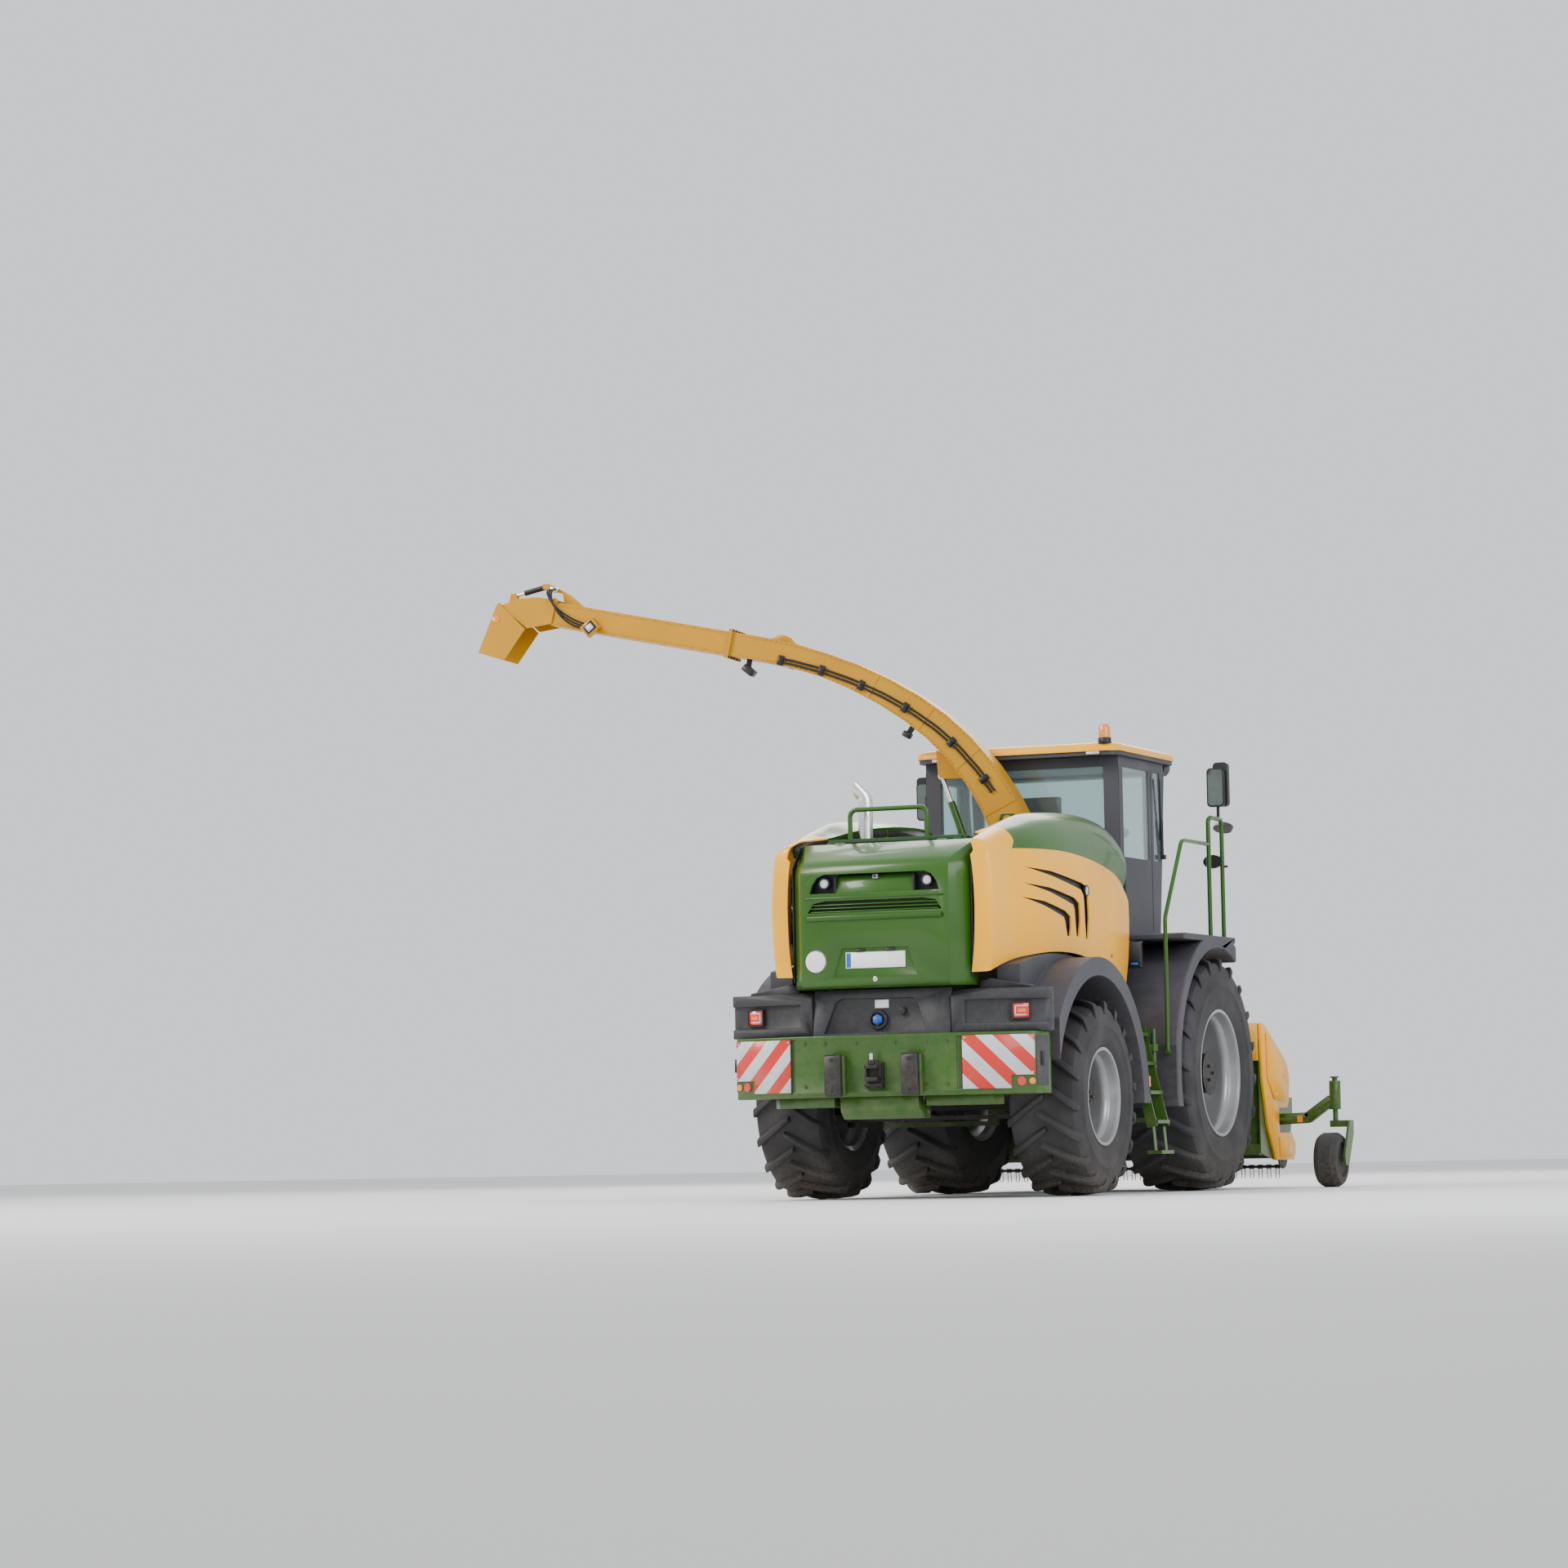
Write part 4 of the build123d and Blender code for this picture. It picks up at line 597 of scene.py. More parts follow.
for body, hand, side, x, y, radius, half, rim_r, lugs, lag, disc_at, hub_r, hub_out in WHEELS:
    x *= side
    crown, bead = radius - 0.052, half - 0.045
    outside = [(rim_r, bead), (rim_r + 0.012, bead + 0.006), (rim_r + 0.03, bead + 0.012),
               (rim_r + 0.045, bead + 0.022), (rim_r + 0.062, bead + 0.022), (rim_r + 0.068, bead + 0.026)]
    rise = crown - rim_r
    outside += [(rim_r + 0.34 * rise, half - 0.010), (rim_r + 0.50 * rise, half - 0.003),
                (rim_r + 0.51 * rise, half), (rim_r + 0.56 * rise, half), (rim_r + 0.57 * rise, half - 0.003),
                (rim_r + 0.74 * rise, half - 0.008), (crown - 0.05, half - 0.020),
                (crown - 0.018, half - 0.040), (crown - 0.006, half - 0.075), (crown - 0.001, half * 0.45)]
    ring = outside + [(r, -d) for r, d in outside[::-1]]
    ring += [(rim_r, 0.07 - bead), (rim_r + 0.1, 0.08 - bead), (rim_r + 0.1, bead - 0.08), (rim_r, bead - 0.07)]
    piece(f"tyre_{hand}_carcass", Form().turned(ring, (x, y, radius), "X", 96), body, "tyre", RUBBER,
          replaces=(f"tyre_{hand}",))
    for name, mark, first in (("outer", side, 0.0), ("inner", -side, 0.5)):
        copies(f"tyre_{hand}_{name}_lugs", lug(radius, half, lag, mark),
               [((x, y, radius), (-2 * pi * (i + first) / lugs, 0, 0)) for i in range(lugs)], body, "tyre",
               RUBBER, edge=0.006)
    lip = bead + 0.021
    barrel = [(rim_r, bead), (rim_r + 0.026, lip - 0.010), (rim_r + 0.026, lip - 0.002),
              (rim_r + 0.016, lip + 0.002), (rim_r, lip - 0.004), (rim_r - 0.012, bead - 0.008),
              (rim_r - 0.014, bead - 0.062), (rim_r - 0.020, bead - 0.070), (rim_r - 0.040, bead - 0.080),
              (rim_r - 0.052, bead - 0.102), (rim_r - 0.056, bead - 0.14), (rim_r - 0.056, 0.14 - bead),
              (rim_r - 0.052, 0.102 - bead), (rim_r - 0.014, 0.062 - bead), (rim_r - 0.012, 0.008 - bead),
              (rim_r + 0.026, 0.002 - lip), (rim_r + 0.026, 0.012 - lip), (rim_r, -bead), (rim_r, 0.07 - bead),
              (rim_r - 0.04, 0.11 - bead), (rim_r - 0.04, bead - 0.11), (rim_r, bead - 0.07)]
    rim = Form().turned([(r, side * d) for r, d in barrel], (x, y, radius), "X", 96)
    dish = [(rim_r - 0.054, disc_at - 0.020), (rim_r - 0.066, disc_at - 0.014), (rim_r - 0.11, disc_at - 0.030),
            (rim_r - 0.135, disc_at - 0.012), (hub_r + 0.10, disc_at + 0.012), (hub_r + 0.07, disc_at),
            (hub_r - 0.02, disc_at), (hub_r - 0.02, disc_at - 0.014), (hub_r + 0.07, disc_at - 0.014),
            (rim_r - 0.135, disc_at - 0.030), (rim_r - 0.054, disc_at - 0.040)]
    rim.turned([(r, side * d) for r, d in dish], (x, y, radius), "X", 96)
    piece(f"rim_{hand}_pressing", rim, body, "rim_silver", SILVER, replaces=(f"rim_{hand}",))
    hub = [(hub_r + 0.012, disc_at + 0.001), (hub_r + 0.012, disc_at + 0.018), (hub_r - 0.022, disc_at + 0.026),
           (hub_r - 0.030, hub_out - 0.045), (hub_r - 0.045, hub_out - 0.020), (0.55 * hub_r, hub_out - 0.012),
           (0.52 * hub_r, hub_out), (0.18 * hub_r, hub_out), (0.15 * hub_r, hub_out - 0.008),
           (MIDDLE, hub_out - 0.008), (MIDDLE, -0.06), (hub_r - 0.02, -0.06), (hub_r - 0.02, disc_at - 0.016),
           (hub_r - 0.021, disc_at + 0.001)]
    piece(f"hub_{hand}", Form().turned([(r, side * d) for r, d in hub], (x, y, radius), "X", 64), body,
          "black_iron", IRON)
    studs = []
    for count, ring_r, out in ((12, hub_r - 0.004, disc_at + 0.018), (10, 0.72 * hub_r, hub_out - 0.017),
                               (3, 0.34 * hub_r, hub_out)):
        for i in range(count):
            a = 2 * pi * (i + 0.5) / count
            turn = (a, 0, 0) if side > 0 else (a, 0, pi)
            studs.append(((x + side * out, y + ring_r * cos(a), radius + ring_r * sin(a)), turn))
    copies(f"hub_{hand}_bolts", bolt(0.016, 0.022), studs, body, "black_iron", IRON)


# ---------------------------------------------------------------- side flaps: yellow panel, green dome
# y, side's half width, crease height, seam height, then (x, z) of the dome from the seam to its inner edge
FLANKS = [
    (1.365, 0.820, 2.690, 2.770,
     [(0.816, 2.800), (0.812, 2.828), (0.807, 2.850), (0.802, 2.866), (0.797, 2.876)]),
    (1.356, 0.950, 2.692, 2.764,
     [(0.910, 2.800), (0.890, 2.830), (0.864, 2.856), (0.832, 2.874), (0.797, 2.882)]),
    (1.335, 0.972, 2.695, 2.768,
     [(0.932, 2.812), (0.908, 2.846), (0.874, 2.876), (0.836, 2.893), (0.796, 2.900)]),
    (1.130, 0.985, 2.715, 2.795,
     [(0.945, 2.846), (0.918, 2.892), (0.876, 2.930), (0.836, 2.948), (0.794, 2.954)]),
    (1.040, 0.993, 2.728, 2.812,
     [(0.952, 2.866), (0.924, 2.916), (0.878, 2.954), (0.825, 2.972), (0.745, 2.966)]),
    (0.880, 1.015, 2.745, 2.835,
     [(0.985, 2.900), (0.950, 2.960), (0.885, 3.005), (0.790, 3.018), (0.650, 2.985)]),
    (0.650, 1.080, 2.756, 2.844,
     [(1.030, 2.925), (0.985, 3.005), (0.905, 3.058), (0.800, 3.078), (0.640, 3.022)]),
    (0.350, 1.130, 2.766, 2.849,
     [(1.068, 2.950), (1.010, 3.050), (0.920, 3.120), (0.810, 3.146), (0.635, 3.070)]),
    (0.000, 1.160, 2.758, 2.846,
     [(1.095, 2.965), (1.035, 3.080), (0.940, 3.155), (0.820, 3.182), (0.632, 3.112)]),
    (-0.400, 1.175, 2.735, 2.822,
     [(1.108, 2.960), (1.052, 3.090), (0.955, 3.175), (0.820, 3.205), (0.630, 3.148)]),
    (-0.800, 1.170, 2.697, 2.785,
     [(1.112, 2.940), (1.062, 3.080), (0.968, 3.180), (0.820, 3.218), (0.630, 3.170)]),
    (-1.200, 1.150, 2.635, 2.730,
     [(1.108, 2.890), (1.070, 3.030), (0.980, 3.150), (0.830, 3.205), (0.630, 3.176)]),
    (-1.450, 1.125, 2.585, 2.675,
     [(1.098, 2.835), (1.070, 2.965), (0.985, 3.095), (0.830, 3.165), (0.630, 3.150)]),
    (-1.620, 1.100, 2.545, 2.620,
     [(1.090, 2.770), (1.064, 2.895), (0.985, 3.030), (0.830, 3.105), (0.630, 3.100)]),
]
CAP_Y = 0.880


def flank_line(station):
    """(x, z) points of a section: the side in one list, the dome in another."""
    y, half, crease, seam, dome = station
    low = sqrt(16 - (y - 0.15) ** 2) - 1.99
    side = smooth_line([(half - 0.055, 1.68), (half - 0.014, 2.0), (half, 2.3), (half - 0.004, 2.52),
                        (half - 0.016, crease)], 8)
    kept = [p for p in side if p[1] > low + 0.004]
    before = side[len(side) - len(kept) - 1]
    t = (low - before[1]) / (kept[0][1] - before[1])
    foot = (before[0] + t * (kept[0][0] - before[0]), low)
    lip = 0.028 + 0.018 * min(1, max(0, (1.04 - y) / 0.16))
    side = resampled([foot] + kept, 18) + [(half - lip, seam)]
    return side, resampled(smooth_line([side[-1]] + dome, 5), 20)


def resampled(points, count):
    """count + 1 points at even steps along a line."""
    along = [0.0]
    for a, b in zip(points, points[1:]):
        along.append(along[-1] + hypot(b[0] - a[0], b[1] - a[1]))
    out, k = [], 0
    for i in range(count + 1):
        goal = along[-1] * i / count
        while k < len(points) - 2 and along[k + 1] < goal:
            k += 1
        t = (goal - along[k]) / max(1e-9, along[k + 1] - along[k])
        out.append(tuple(p + t * (q - p) for p, q in zip(points[k], points[k + 1])))
    return out


def flank_stations():
    """The stations of the table with smooth ones between them."""
    flat = [(y, half, crease, seam) + tuple(v for p in dome for v in p)
            for y, half, crease, seam, dome in FLANKS]
    sharp, smooth = flat[:3], smooth_line(flat[2:], 4)
    rows = sharp[:2] + smooth
    return [(r[0], r[1], r[2], r[3], [(r[k], r[k + 1]) for k in range(4, 14, 2)]) for r in rows]


def sections():
    out = []
    for station in flank_stations():
        side, dome = flank_line(station)
        y = station[0]
        out.append((y, [(x, y, z) for x, z in side], [(x, y, z) for x, z in dome]))
    return out


SECTIONS = sections()


def side_at(y, z):
    """x of the flap's side at a place along the machine and a height."""
    low = min(range(len(SECTIONS) - 1), key=lambda i: 0 if SECTIONS[i + 1][0] <= y <= SECTIONS[i][0] else 1)
    found = []
    for _, side, dome in SECTIONS[low:low + 2]:
        line = side + dome[1:8]
        k = next((i for i in range(len(line) - 1) if line[i + 1][2] >= z), len(line) - 2)
        t = (z - line[k][2]) / (line[k + 1][2] - line[k][2])
        found.append(line[k][0] + t * (line[k + 1][0] - line[k][0]))
    t = (y - SECTIONS[low][0]) / (SECTIONS[low + 1][0] - SECTIONS[low][0])
    return found[0] + t * (found[1] - found[0])


# the three vents, each a hook: along the upper edge and down the front, then back up inside, as (y, z)
VENTS = [
    [(0.780, 2.690), (0.350, 2.668), (-0.260, 2.596), (-0.372, 2.566), (-0.384, 2.300), (-0.362, 2.133),
     (-0.318, 2.133), (-0.286, 2.300), (-0.276, 2.490), (-0.226, 2.538), (0.350, 2.628)],
    [(0.800, 2.556), (0.400, 2.532), (-0.080, 2.464), (-0.176, 2.420), (-0.184, 2.280), (-0.158, 2.145),
     (-0.108, 2.145), (-0.074, 2.280), (-0.060, 2.366), (-0.036, 2.404), (0.400, 2.494)],
    [(0.840, 2.442), (0.500, 2.416), (0.120, 2.348), (0.020, 2.304), (0.016, 2.210), (0.034, 2.142),
     (0.084, 2.142), (0.118, 2.210), (0.132, 2.258), (0.164, 2.296), (0.500, 2.376)],
]


for hand, mark in (("left", 1), ("right", -1)):
    body = f"side_flap_{hand}"
    cutter = Form()
    for outline in VENTS:
        cutter.prism(outline, "X", 0.9, 1.4)
    rows = [side + (dome[1:] if y >= CAP_Y - 0.001 else []) for y, side, dome in SECTIONS]
    panel = Form()
    low = [(y, side) for y, side, dome in SECTIONS]
    panel.skin([side for y, side in low], closed=False, ends=False)
    panel.skin([dome for y, side, dome in SECTIONS if y >= CAP_Y - 0.001], closed=False, ends=False)
    dome = Form().skin([[p for p in dome] for y, side, dome in SECTIONS if y <= CAP_Y + 0.001], closed=False,
                       ends=False)
    if mark < 0:
        panel.flipped(), dome.flipped(), cutter.flipped()
    piece(f"flap_{hand}_panel", panel, body, "machine_yellow", YELLOW, wall=0.012, cut=cutter, replaces=(body,))
    piece(f"flap_{hand}_dome", dome, body, "body_green", GREEN, wall=0.028)
    # black sheet behind the vents, following the side just inside it: painted shade, standing in for the dark
    # inside of the machine
    dark = Form()
    for k in range(12):
        y0, y1 = 0.86 - 0.11 * k, 0.86 - 0.11 * (k + 1)
        dark.skin([[(side_at(y, z) - inner, y, z) for y in (y0, y1)
                    for inner in ((0.031, 0.036) if y == y0 else (0.036, 0.031))]
                   for z in [2.12 + 0.0725 * i for i in range(9)]])
    if mark < 0:
        dark.flipped()
    piece(f"flap_{hand}_grille", dark, body, "black_plastic", BLACK)
    lamp = Form().turned([(0.050, 0), (0.050, 0.016), (0.042, 0.022), (0.040, 0.010), (MIDDLE, 0.008),
                          (MIDDLE, 0)], (0, 0, 0), "X", 40)
    eye = Form().turned([(0.038, 0.0105), (0.036, 0.017), (0.022, 0.021), (MIDDLE, 0.022), (MIDDLE, 0.0105)],
                        (0, 0, 0), "X", 40)
    spot = Matrix.Translation((side_at(-0.350, 2.535) - 0.012, -0.350, 2.535))
    for form in (lamp, eye):
        form.moved(spot)
        if mark < 0:
            form.flipped()
    piece(f"flap_{hand}_lamp", lamp, body, "black_plastic", BLACK)
    piece(f"flap_{hand}_lamp_glass", eye, body, "glass", CLEAR)
    lock = Form().turned([(0.016, 0), (0.016, 0.003), (MIDDLE, 0.003), (MIDDLE, 0)], (0, 0, 0), "X", 24)
    lock.moved(Matrix.Translation((side_at(-1.010, 2.012) - 0.001, -1.010, 2.012)))
    if mark < 0:
        lock.flipped()
    piece(f"flap_{hand}_lock", lock, body, "black_plastic", BLACK)


# ---------------------------------------------------------------- tailgate
SKIN = 0.030
TAIL_HALF, TAIL_FLAT, TAIL_TURN = 0.772, 0.647, 0.180


def tail_rings(inset):
    """Plan rings of the tailgate from its foot to its top, every face drawn in by inset."""
    rings = []
    for z, back, front in ((1.720, 1.465, 1.180), (1.735, 1.488, 1.178), (1.760, 1.500, 1.175),
                           (2.600, 1.500, 1.130), (2.650, 1.496, 1.126), (2.690, 1.485, 1.123),
                           (2.720, 1.468, 1.121), (2.746, 1.440, 1.119), (2.765, 1.406, 1.117),
                           (2.915, 1.125, 1.106)):
        z = min(max(z, 1.720 + inset), 2.915 - 1.2 * inset)
        back, front = back - inset, front if not inset else 0.98
        side = max(front + 0.004, back - TAIL_TURN)
        wide, flat = TAIL_HALF - inset, TAIL_FLAT - 0.4 * inset
        flat = flat if side > front + 0.004 else wide - 0.02
        rings.append([(wide, front, z), (wide, side, z), (flat, back, z), (-flat, back, z), (-wide, side, z),
                      (-wide, front, z)])
    return rings


HOLE = [(0.566, 2.492), (0.545, 2.560), (0.500, 2.622), (0.440, 2.646)]
INTAKE = HOLE + [(-x, z) for x, z in HOLE[::-1]]
cutter = Form().skin(tail_rings(SKIN))
cutter.prism([(-0.365, 1.810), (0.365, 1.810), (0.290, 2.040), (-0.290, 2.040)], "Y", 1.486, 1.52)
cutter.prism(INTAKE, "Y", 1.40, 1.52)
cutter.prism([(0.585, 2.335), (0.535, 2.410), (0.430, 2.430), (-0.430, 2.430), (-0.535, 2.410),
              (-0.585, 2.335)], "Y", 1.44, 1.52)
piece("tailgate_skin", Form().skin(tail_rings(0)), "tailgate", "body_green", GREEN, edge=0.006, segments=2,
      cut=cutter,
      replaces=("tailgate",))
hinges = Form()
for x in (-0.45, 0.45):
    hinges.rod((x - 0.042, 1.104, 2.915), (x + 0.042, 1.104, 2.915), 0.011)
piece("tailgate_hinges", hinges, "tailgate", "body_green", GREEN)

louvres = Form()
louvres.prism([(1.410, 2.650), (1.410, 2.612), (1.465, 2.470), (1.498, 2.468), (1.448, 2.622)], "X", -0.335,
              0.335)
louvres.prism([(1.470, 2.336), (1.526, 2.304), (1.526, 2.292), (1.500, 2.262), (1.470, 2.262)], "X", -0.585,
              0.585)
for z in (2.352, 2.380, 2.408):
    louvres.prism([(1.470, z), (1.470, z + 0.006), (1.498, z - 0.008), (1.498, z - 0.014)], "X", -0.56, 0.56)
louvres.bar((-0.60, 1.500, 2.455), (0.60, 1.500, 2.455), 0.020, 0.012, (0, 0, 1))
piece("tailgate_louvres", louvres, "tailgate", "body_green", GREEN, edge=0.003)
# black box behind the intake and behind the louvre opening: painted shade, standing in for the dark inside
# behind the openings
shade_box = Form().prism([(-0.60, 2.45), (0.60, 2.45), (0.60, 2.655), (-0.60, 2.655)], "Y", 1.404, 1.409)
shade_box.prism([(-0.60, 2.32), (0.60, 2.32), (0.60, 2.44), (-0.60, 2.44)], "Y", 1.444, 1.449)
for x in (-0.600, 0.590):
    shade_box.block(x, x + 0.010, 1.409, 1.470, 2.44, 2.655)
shade_box.block(-0.59, 0.59, 1.409, 1.4699, 2.648, 2.655)
for x in (-0.349, 0.336):
    shade_box.block(x, x + 0.013, 1.409, 1.486, 2.496, 2.618)
piece("tailgate_intake_liner", shade_box, "tailgate", "black_plastic", BLACK)
wires = Form()
for x0 in (-0.556, 0.352):
    for i in range(9):
        wires.bar((x0 + i * 0.0255, 1.411, 2.47), (x0 + i * 0.0255, 1.411, 2.64), 0.003, 0.003, (0, 1, 0))
piece("tailgate_intake_mesh", wires, "tailgate", "black_iron", IRON)
for hand, mark in (("left", 1), ("right", -1)):
    shade = Form().turned([(0.047, 1.412), (0.047, 1.470), (0.040, 1.476), (0.038, 1.456), (MIDDLE, 1.450),
                           (MIDDLE, 1.412)],
                          (mark * 0.45, 0, 2.575), "Y", 40)
    piece(f"tailgate_lamp_{hand}_housing", shade, "tailgate", "black_plastic", GREY)
    bowl = Form().turned([(0.0370, 1.457), (0.0360, 1.464), (0.024, 1.4685), (MIDDLE, 1.470), (MIDDLE, 1.4515)],
                         (mark * 0.45, 0, 2.575), "Y", 40)
    piece(f"tailgate_lamp_{hand}_lens", bowl, "tailgate", "glass", CLEAR)
piece("tailgate_camera", Form().block(-0.024, 0.024, 1.43, 1.470, 2.600, 2.640), "tailgate", "grey_plastic",
      SILVER, edge=0.005)
piece("tailgate_camera_eye",
      Form().turned([(0.011, 1.470), (0.011, 1.474), (MIDDLE, 1.476), (MIDDLE, 1.470)], (0, 0, 2.620), "Y", 24),
      "tailgate", "glass", BLACK)

piece("tailgate_plate", Form().block(-0.260, 0.260, 1.4862, 1.4915, 1.877, 2.007), "tailgate", "grey_plastic",
      WHITE, edge=0.002)
piece("tailgate_plate_band", Form().block(0.214, 0.254, 1.4917, 1.4922, 1.883, 2.001), "tailgate",
      "grey_plastic", BLUE)
lights = Form()
for x in (-0.130, 0.130):
    lights.block(x - 0.040, x + 0.040, 1.480, 1.503, 2.014, 2.032)
piece("tailgate_plate_lamps", lights, "tailgate", "black_plastic", BLACK, edge=0.003)
disc = Form().turned([(0.095, 1.5005), (0.095, 1.5035), (0.092, 1.5045), (MIDDLE, 1.5045), (MIDDLE, 1.5005)],
                     (0.52, 0, 1.94), "Y", 64)
piece("tailgate_disc", disc, "tailgate", "grey_plastic", WHITE)
ring = Form().turned([(0.0945, 1.5046), (0.0945, 1.5052), (0.088, 1.5052), (0.088, 1.5046)], (0.52, 0, 1.94),
                     "Y", 64)
piece("tailgate_disc_rim", ring, "tailgate", "black_plastic", BLACK)
lock = Form().turned([(0.020, 1.490), (0.020, 1.503), (0.015, 1.506), (MIDDLE, 1.506), (MIDDLE, 1.490)],
                     (0, 0, 1.785), "Y", 32)
piece("tailgate_lock", lock, "tailgate", "chrome", CHROME)
gasket = Form()
gasket.bar((0.783, 1.312, 1.78), (0.783, 1.312, 2.70), 0.012, 0.036, (0, 1, 0))
gasket.bar((0.783, 1.312, 2.70), (0.783, 1.135, 2.890), 0.012, 0.030, (0, 1, 0))
piece("tailgate_gaskets", gasket.mirrored(), "chassis", "black_plastic", BLACK)

# ---------------------------------------------------------------- rear panels and their lamps
LOW, HIGH = 1.336, 1.708
SPLIT = 0.600
# the rear panels below take the darker copy of the grey moulding, painted shade for the rear face
centre = Form().prism([(1.300, LOW), (1.400, LOW), (1.345, HIGH), (1.300, HIGH)], "X", -SPLIT, SPLIT)
recess = Form().prism([(0.504, LOW + 0.017), (0.412, HIGH - 0.103), (0.354, HIGH - 0.070),
                       (-0.271, HIGH - 0.077), (-0.307, HIGH - 0.117), (-0.387, LOW + 0.027)], "Y", 1.330,
                      1.500)
piece("rear_panel_centre", centre, "chassis", "grey_plastic", SHADED_GREY, edge=0.005, cut=recess,
      replaces=("rear_panels",))
for hand, mark in (("left", 1), ("right", -1)):
    side = Form().prism([(SPLIT + 0.008, 1.250), (SPLIT + 0.008, 1.395), (1.380, 1.235), (1.395, 1.120),
                         (1.340, 1.110)],
                        "Z", LOW, HIGH - 0.020)
    pocket = Form().prism([(0.720, 1.345), (0.720, 1.440), (1.360, 1.307), (1.400, 1.180), (1.340, 1.205)], "Z",
                          LOW + 0.075, HIGH - 0.110)
    pocket.prism([(1.190, HIGH + 0.07), (1.500, HIGH - 0.15), (1.500, HIGH + 0.07)], "X", SPLIT - 0.01, 1.5)
    if mark < 0:
        side.flipped(), pocket.flipped()
    piece(f"rear_panel_{hand}", side, "chassis", "grey_plastic", SHADED_GREY, edge=0.006, cut=pocket)
ridge = Form().prism([(SPLIT + 0.008, HIGH - 0.021), (1.230, HIGH - 0.021), (1.230, HIGH),
                      (0.880, HIGH + 0.065), (0.792, HIGH + 0.040), (0.792, HIGH - 0.008),
                      (SPLIT + 0.008, HIGH - 0.008)], "Y", 1.110, 1.210)
piece("rear_panel_ridges", ridge.mirrored(), "chassis", "grey_plastic", SHADED_GREY, edge=0.005)
collar = Form().turned([(0.080, 1.3305), (0.080, 1.352), (0.074, 1.358), (0.062, 1.358), (0.060, 1.3305)],
                       (0.045, 0, 1.46), "Y", 48)
piece("tank_collar", collar, "chassis", "black_plastic", BLACK)
cap = Form().prism([(0.045 + 0.044 * cos(pi * (k + 0.5) / 3), 1.46 + 0.044 * sin(pi * (k + 0.5) / 3))
                    for k in range(6)], "Y", 1.3305, 1.372)
piece("tank_cap", cap, "chassis", "grey_plastic", BLUE, edge=0.005)
socket = Form().turned([(0.030, 1.331), (0.030, 1.352), (0.024, 1.356), (MIDDLE, 1.356), (MIDDLE, 1.331)],
                       (-0.165, 0, 1.526), "Y", 32)
piece("trailer_socket", socket, "chassis", "black_plastic", BLACK)
piece("service_tab", Form().block(-0.045, 0.075, 1.3303, 1.336, 1.555, 1.622), "chassis", "grey_plastic", WHITE,
      edge=0.002)
LAMP_SLOPE = (1.2607 - 1.2300) / (1.231 - 1.095)
LAMP_TURN = atan2(LAMP_SLOPE, 1)


def on_lamp(x, out, z):
    """A place on the left rear lamp: x across from its middle, out from its glass."""
    return (1.163 + x * cos(LAMP_TURN) + out * sin(LAMP_TURN),
            1.2694 - x * sin(LAMP_TURN) + out * cos(LAMP_TURN), z)


def lamp_slab(form, x0, x1, z0, z1, out0, out1):
    form.skin([[on_lamp(x, out, z) for x, z in ((x0, z0), (x1, z0), (x1, z1), (x0, z1))]
               for out in (out0, out1)])


glass, frames, bars, glow = Form(), Form(), Form(), Form()
lamp_slab(glass, -0.068, 0.068, 1.446, 1.564, -0.024, 0.0)
for x0, x1, z0, z1 in ((-0.078, -0.069, 1.436, 1.574), (0.069, 0.078, 1.436, 1.574),
                       (-0.069, 0.069, 1.565, 1.574), (-0.069, 0.069, 1.436, 1.445)):
    lamp_slab(frames, x0, x1, z0, z1, -0.026, 0.006)
for x0, x1, z0, z1 in ((-0.046, 0.046, 1.536, 1.545), (-0.046, 0.046, 1.463, 1.472),
                       (-0.050, -0.041, 1.472, 1.536)):
    lamp_slab(bars, x0, x1, z0, z1, 0.0005, 0.003)
lamp_slab(glow, -0.022, 0.040, 1.492, 1.517, 0.0005, 0.003)
piece("rear_lamps", glass.mirrored(), "chassis", "lamp_red", RED, edge=0.004, replaces=("lamps",))
piece("rear_lamp_frames", frames.mirrored(), "chassis", "black_plastic", BLACK)
piece("rear_lamp_light_bars", bars.mirrored(), "chassis", "glass", CLEAR)
piece("rear_lamp_indicators", glow.mirrored(), "chassis", "lamp_red", AMBER)

# ---------------------------------------------------------------- bumper
BACK_Y, MID_HALF, BEND, TIP = 1.530, 0.700, (1.304, 1.338), (1.360, 1.180)
FACE_SLOPE = (BACK_Y - BEND[1]) / (BEND[0] - MID_HALF)
FACE_TURN = atan2(FACE_SLOPE, 1)


def on_face(x, out, z):
    """A place on the bumper's left swept face: x across the machine, out from the face."""
    return (x + out * sin(FACE_TURN), BACK_Y - FACE_SLOPE * (x - MID_HALF) + out * cos(FACE_TURN), z)


half = [(MID_HALF, BACK_Y), BEND, TIP, (1.340, 1.070), (1.230, 1.070), (MID_HALF, 1.310)]
bumper = Form().prism(half + [(-x, y) for x, y in half[::-1]], "Z", 0.835, 1.335)
grooves = Form().prism([(1.490, 0.825), (1.540, 0.825), (1.540, 0.880)], "X", -1.304, 1.304)
for mark in (1, -1):
    grooves.prism([(mark * 0.700, 1.535), (mark * 0.700, 1.518), (mark * 0.738, 1.506), (mark * 0.738, 1.523)],
                  "Z", 0.885, 1.305)
piece("bumper_casting", bumper, "chassis", "body_green", GREEN, edge=0.010, segments=3, cut=grooves,
      replaces=("ballast_bumper",))
weights = Form().prism([(1.200, 0.655), (1.400, 0.655), (1.470, 0.725), (1.470, 0.836), (1.200, 0.836)], "X",
                       -0.340, 0.340)
for mark in (1, -1):
    weights.prism([(mark * 0.400, 1.150), (mark * 0.400, 1.450), (mark * 0.930, 1.330), (mark * 1.000, 1.250),
                   (mark * 0.930, 1.180)],
                  "Z", 0.755, 0.836)
piece("bumper_weights", weights, "chassis", "body_green", GREEN, edge=0.006)
x0, x1 = 0.745, 1.300
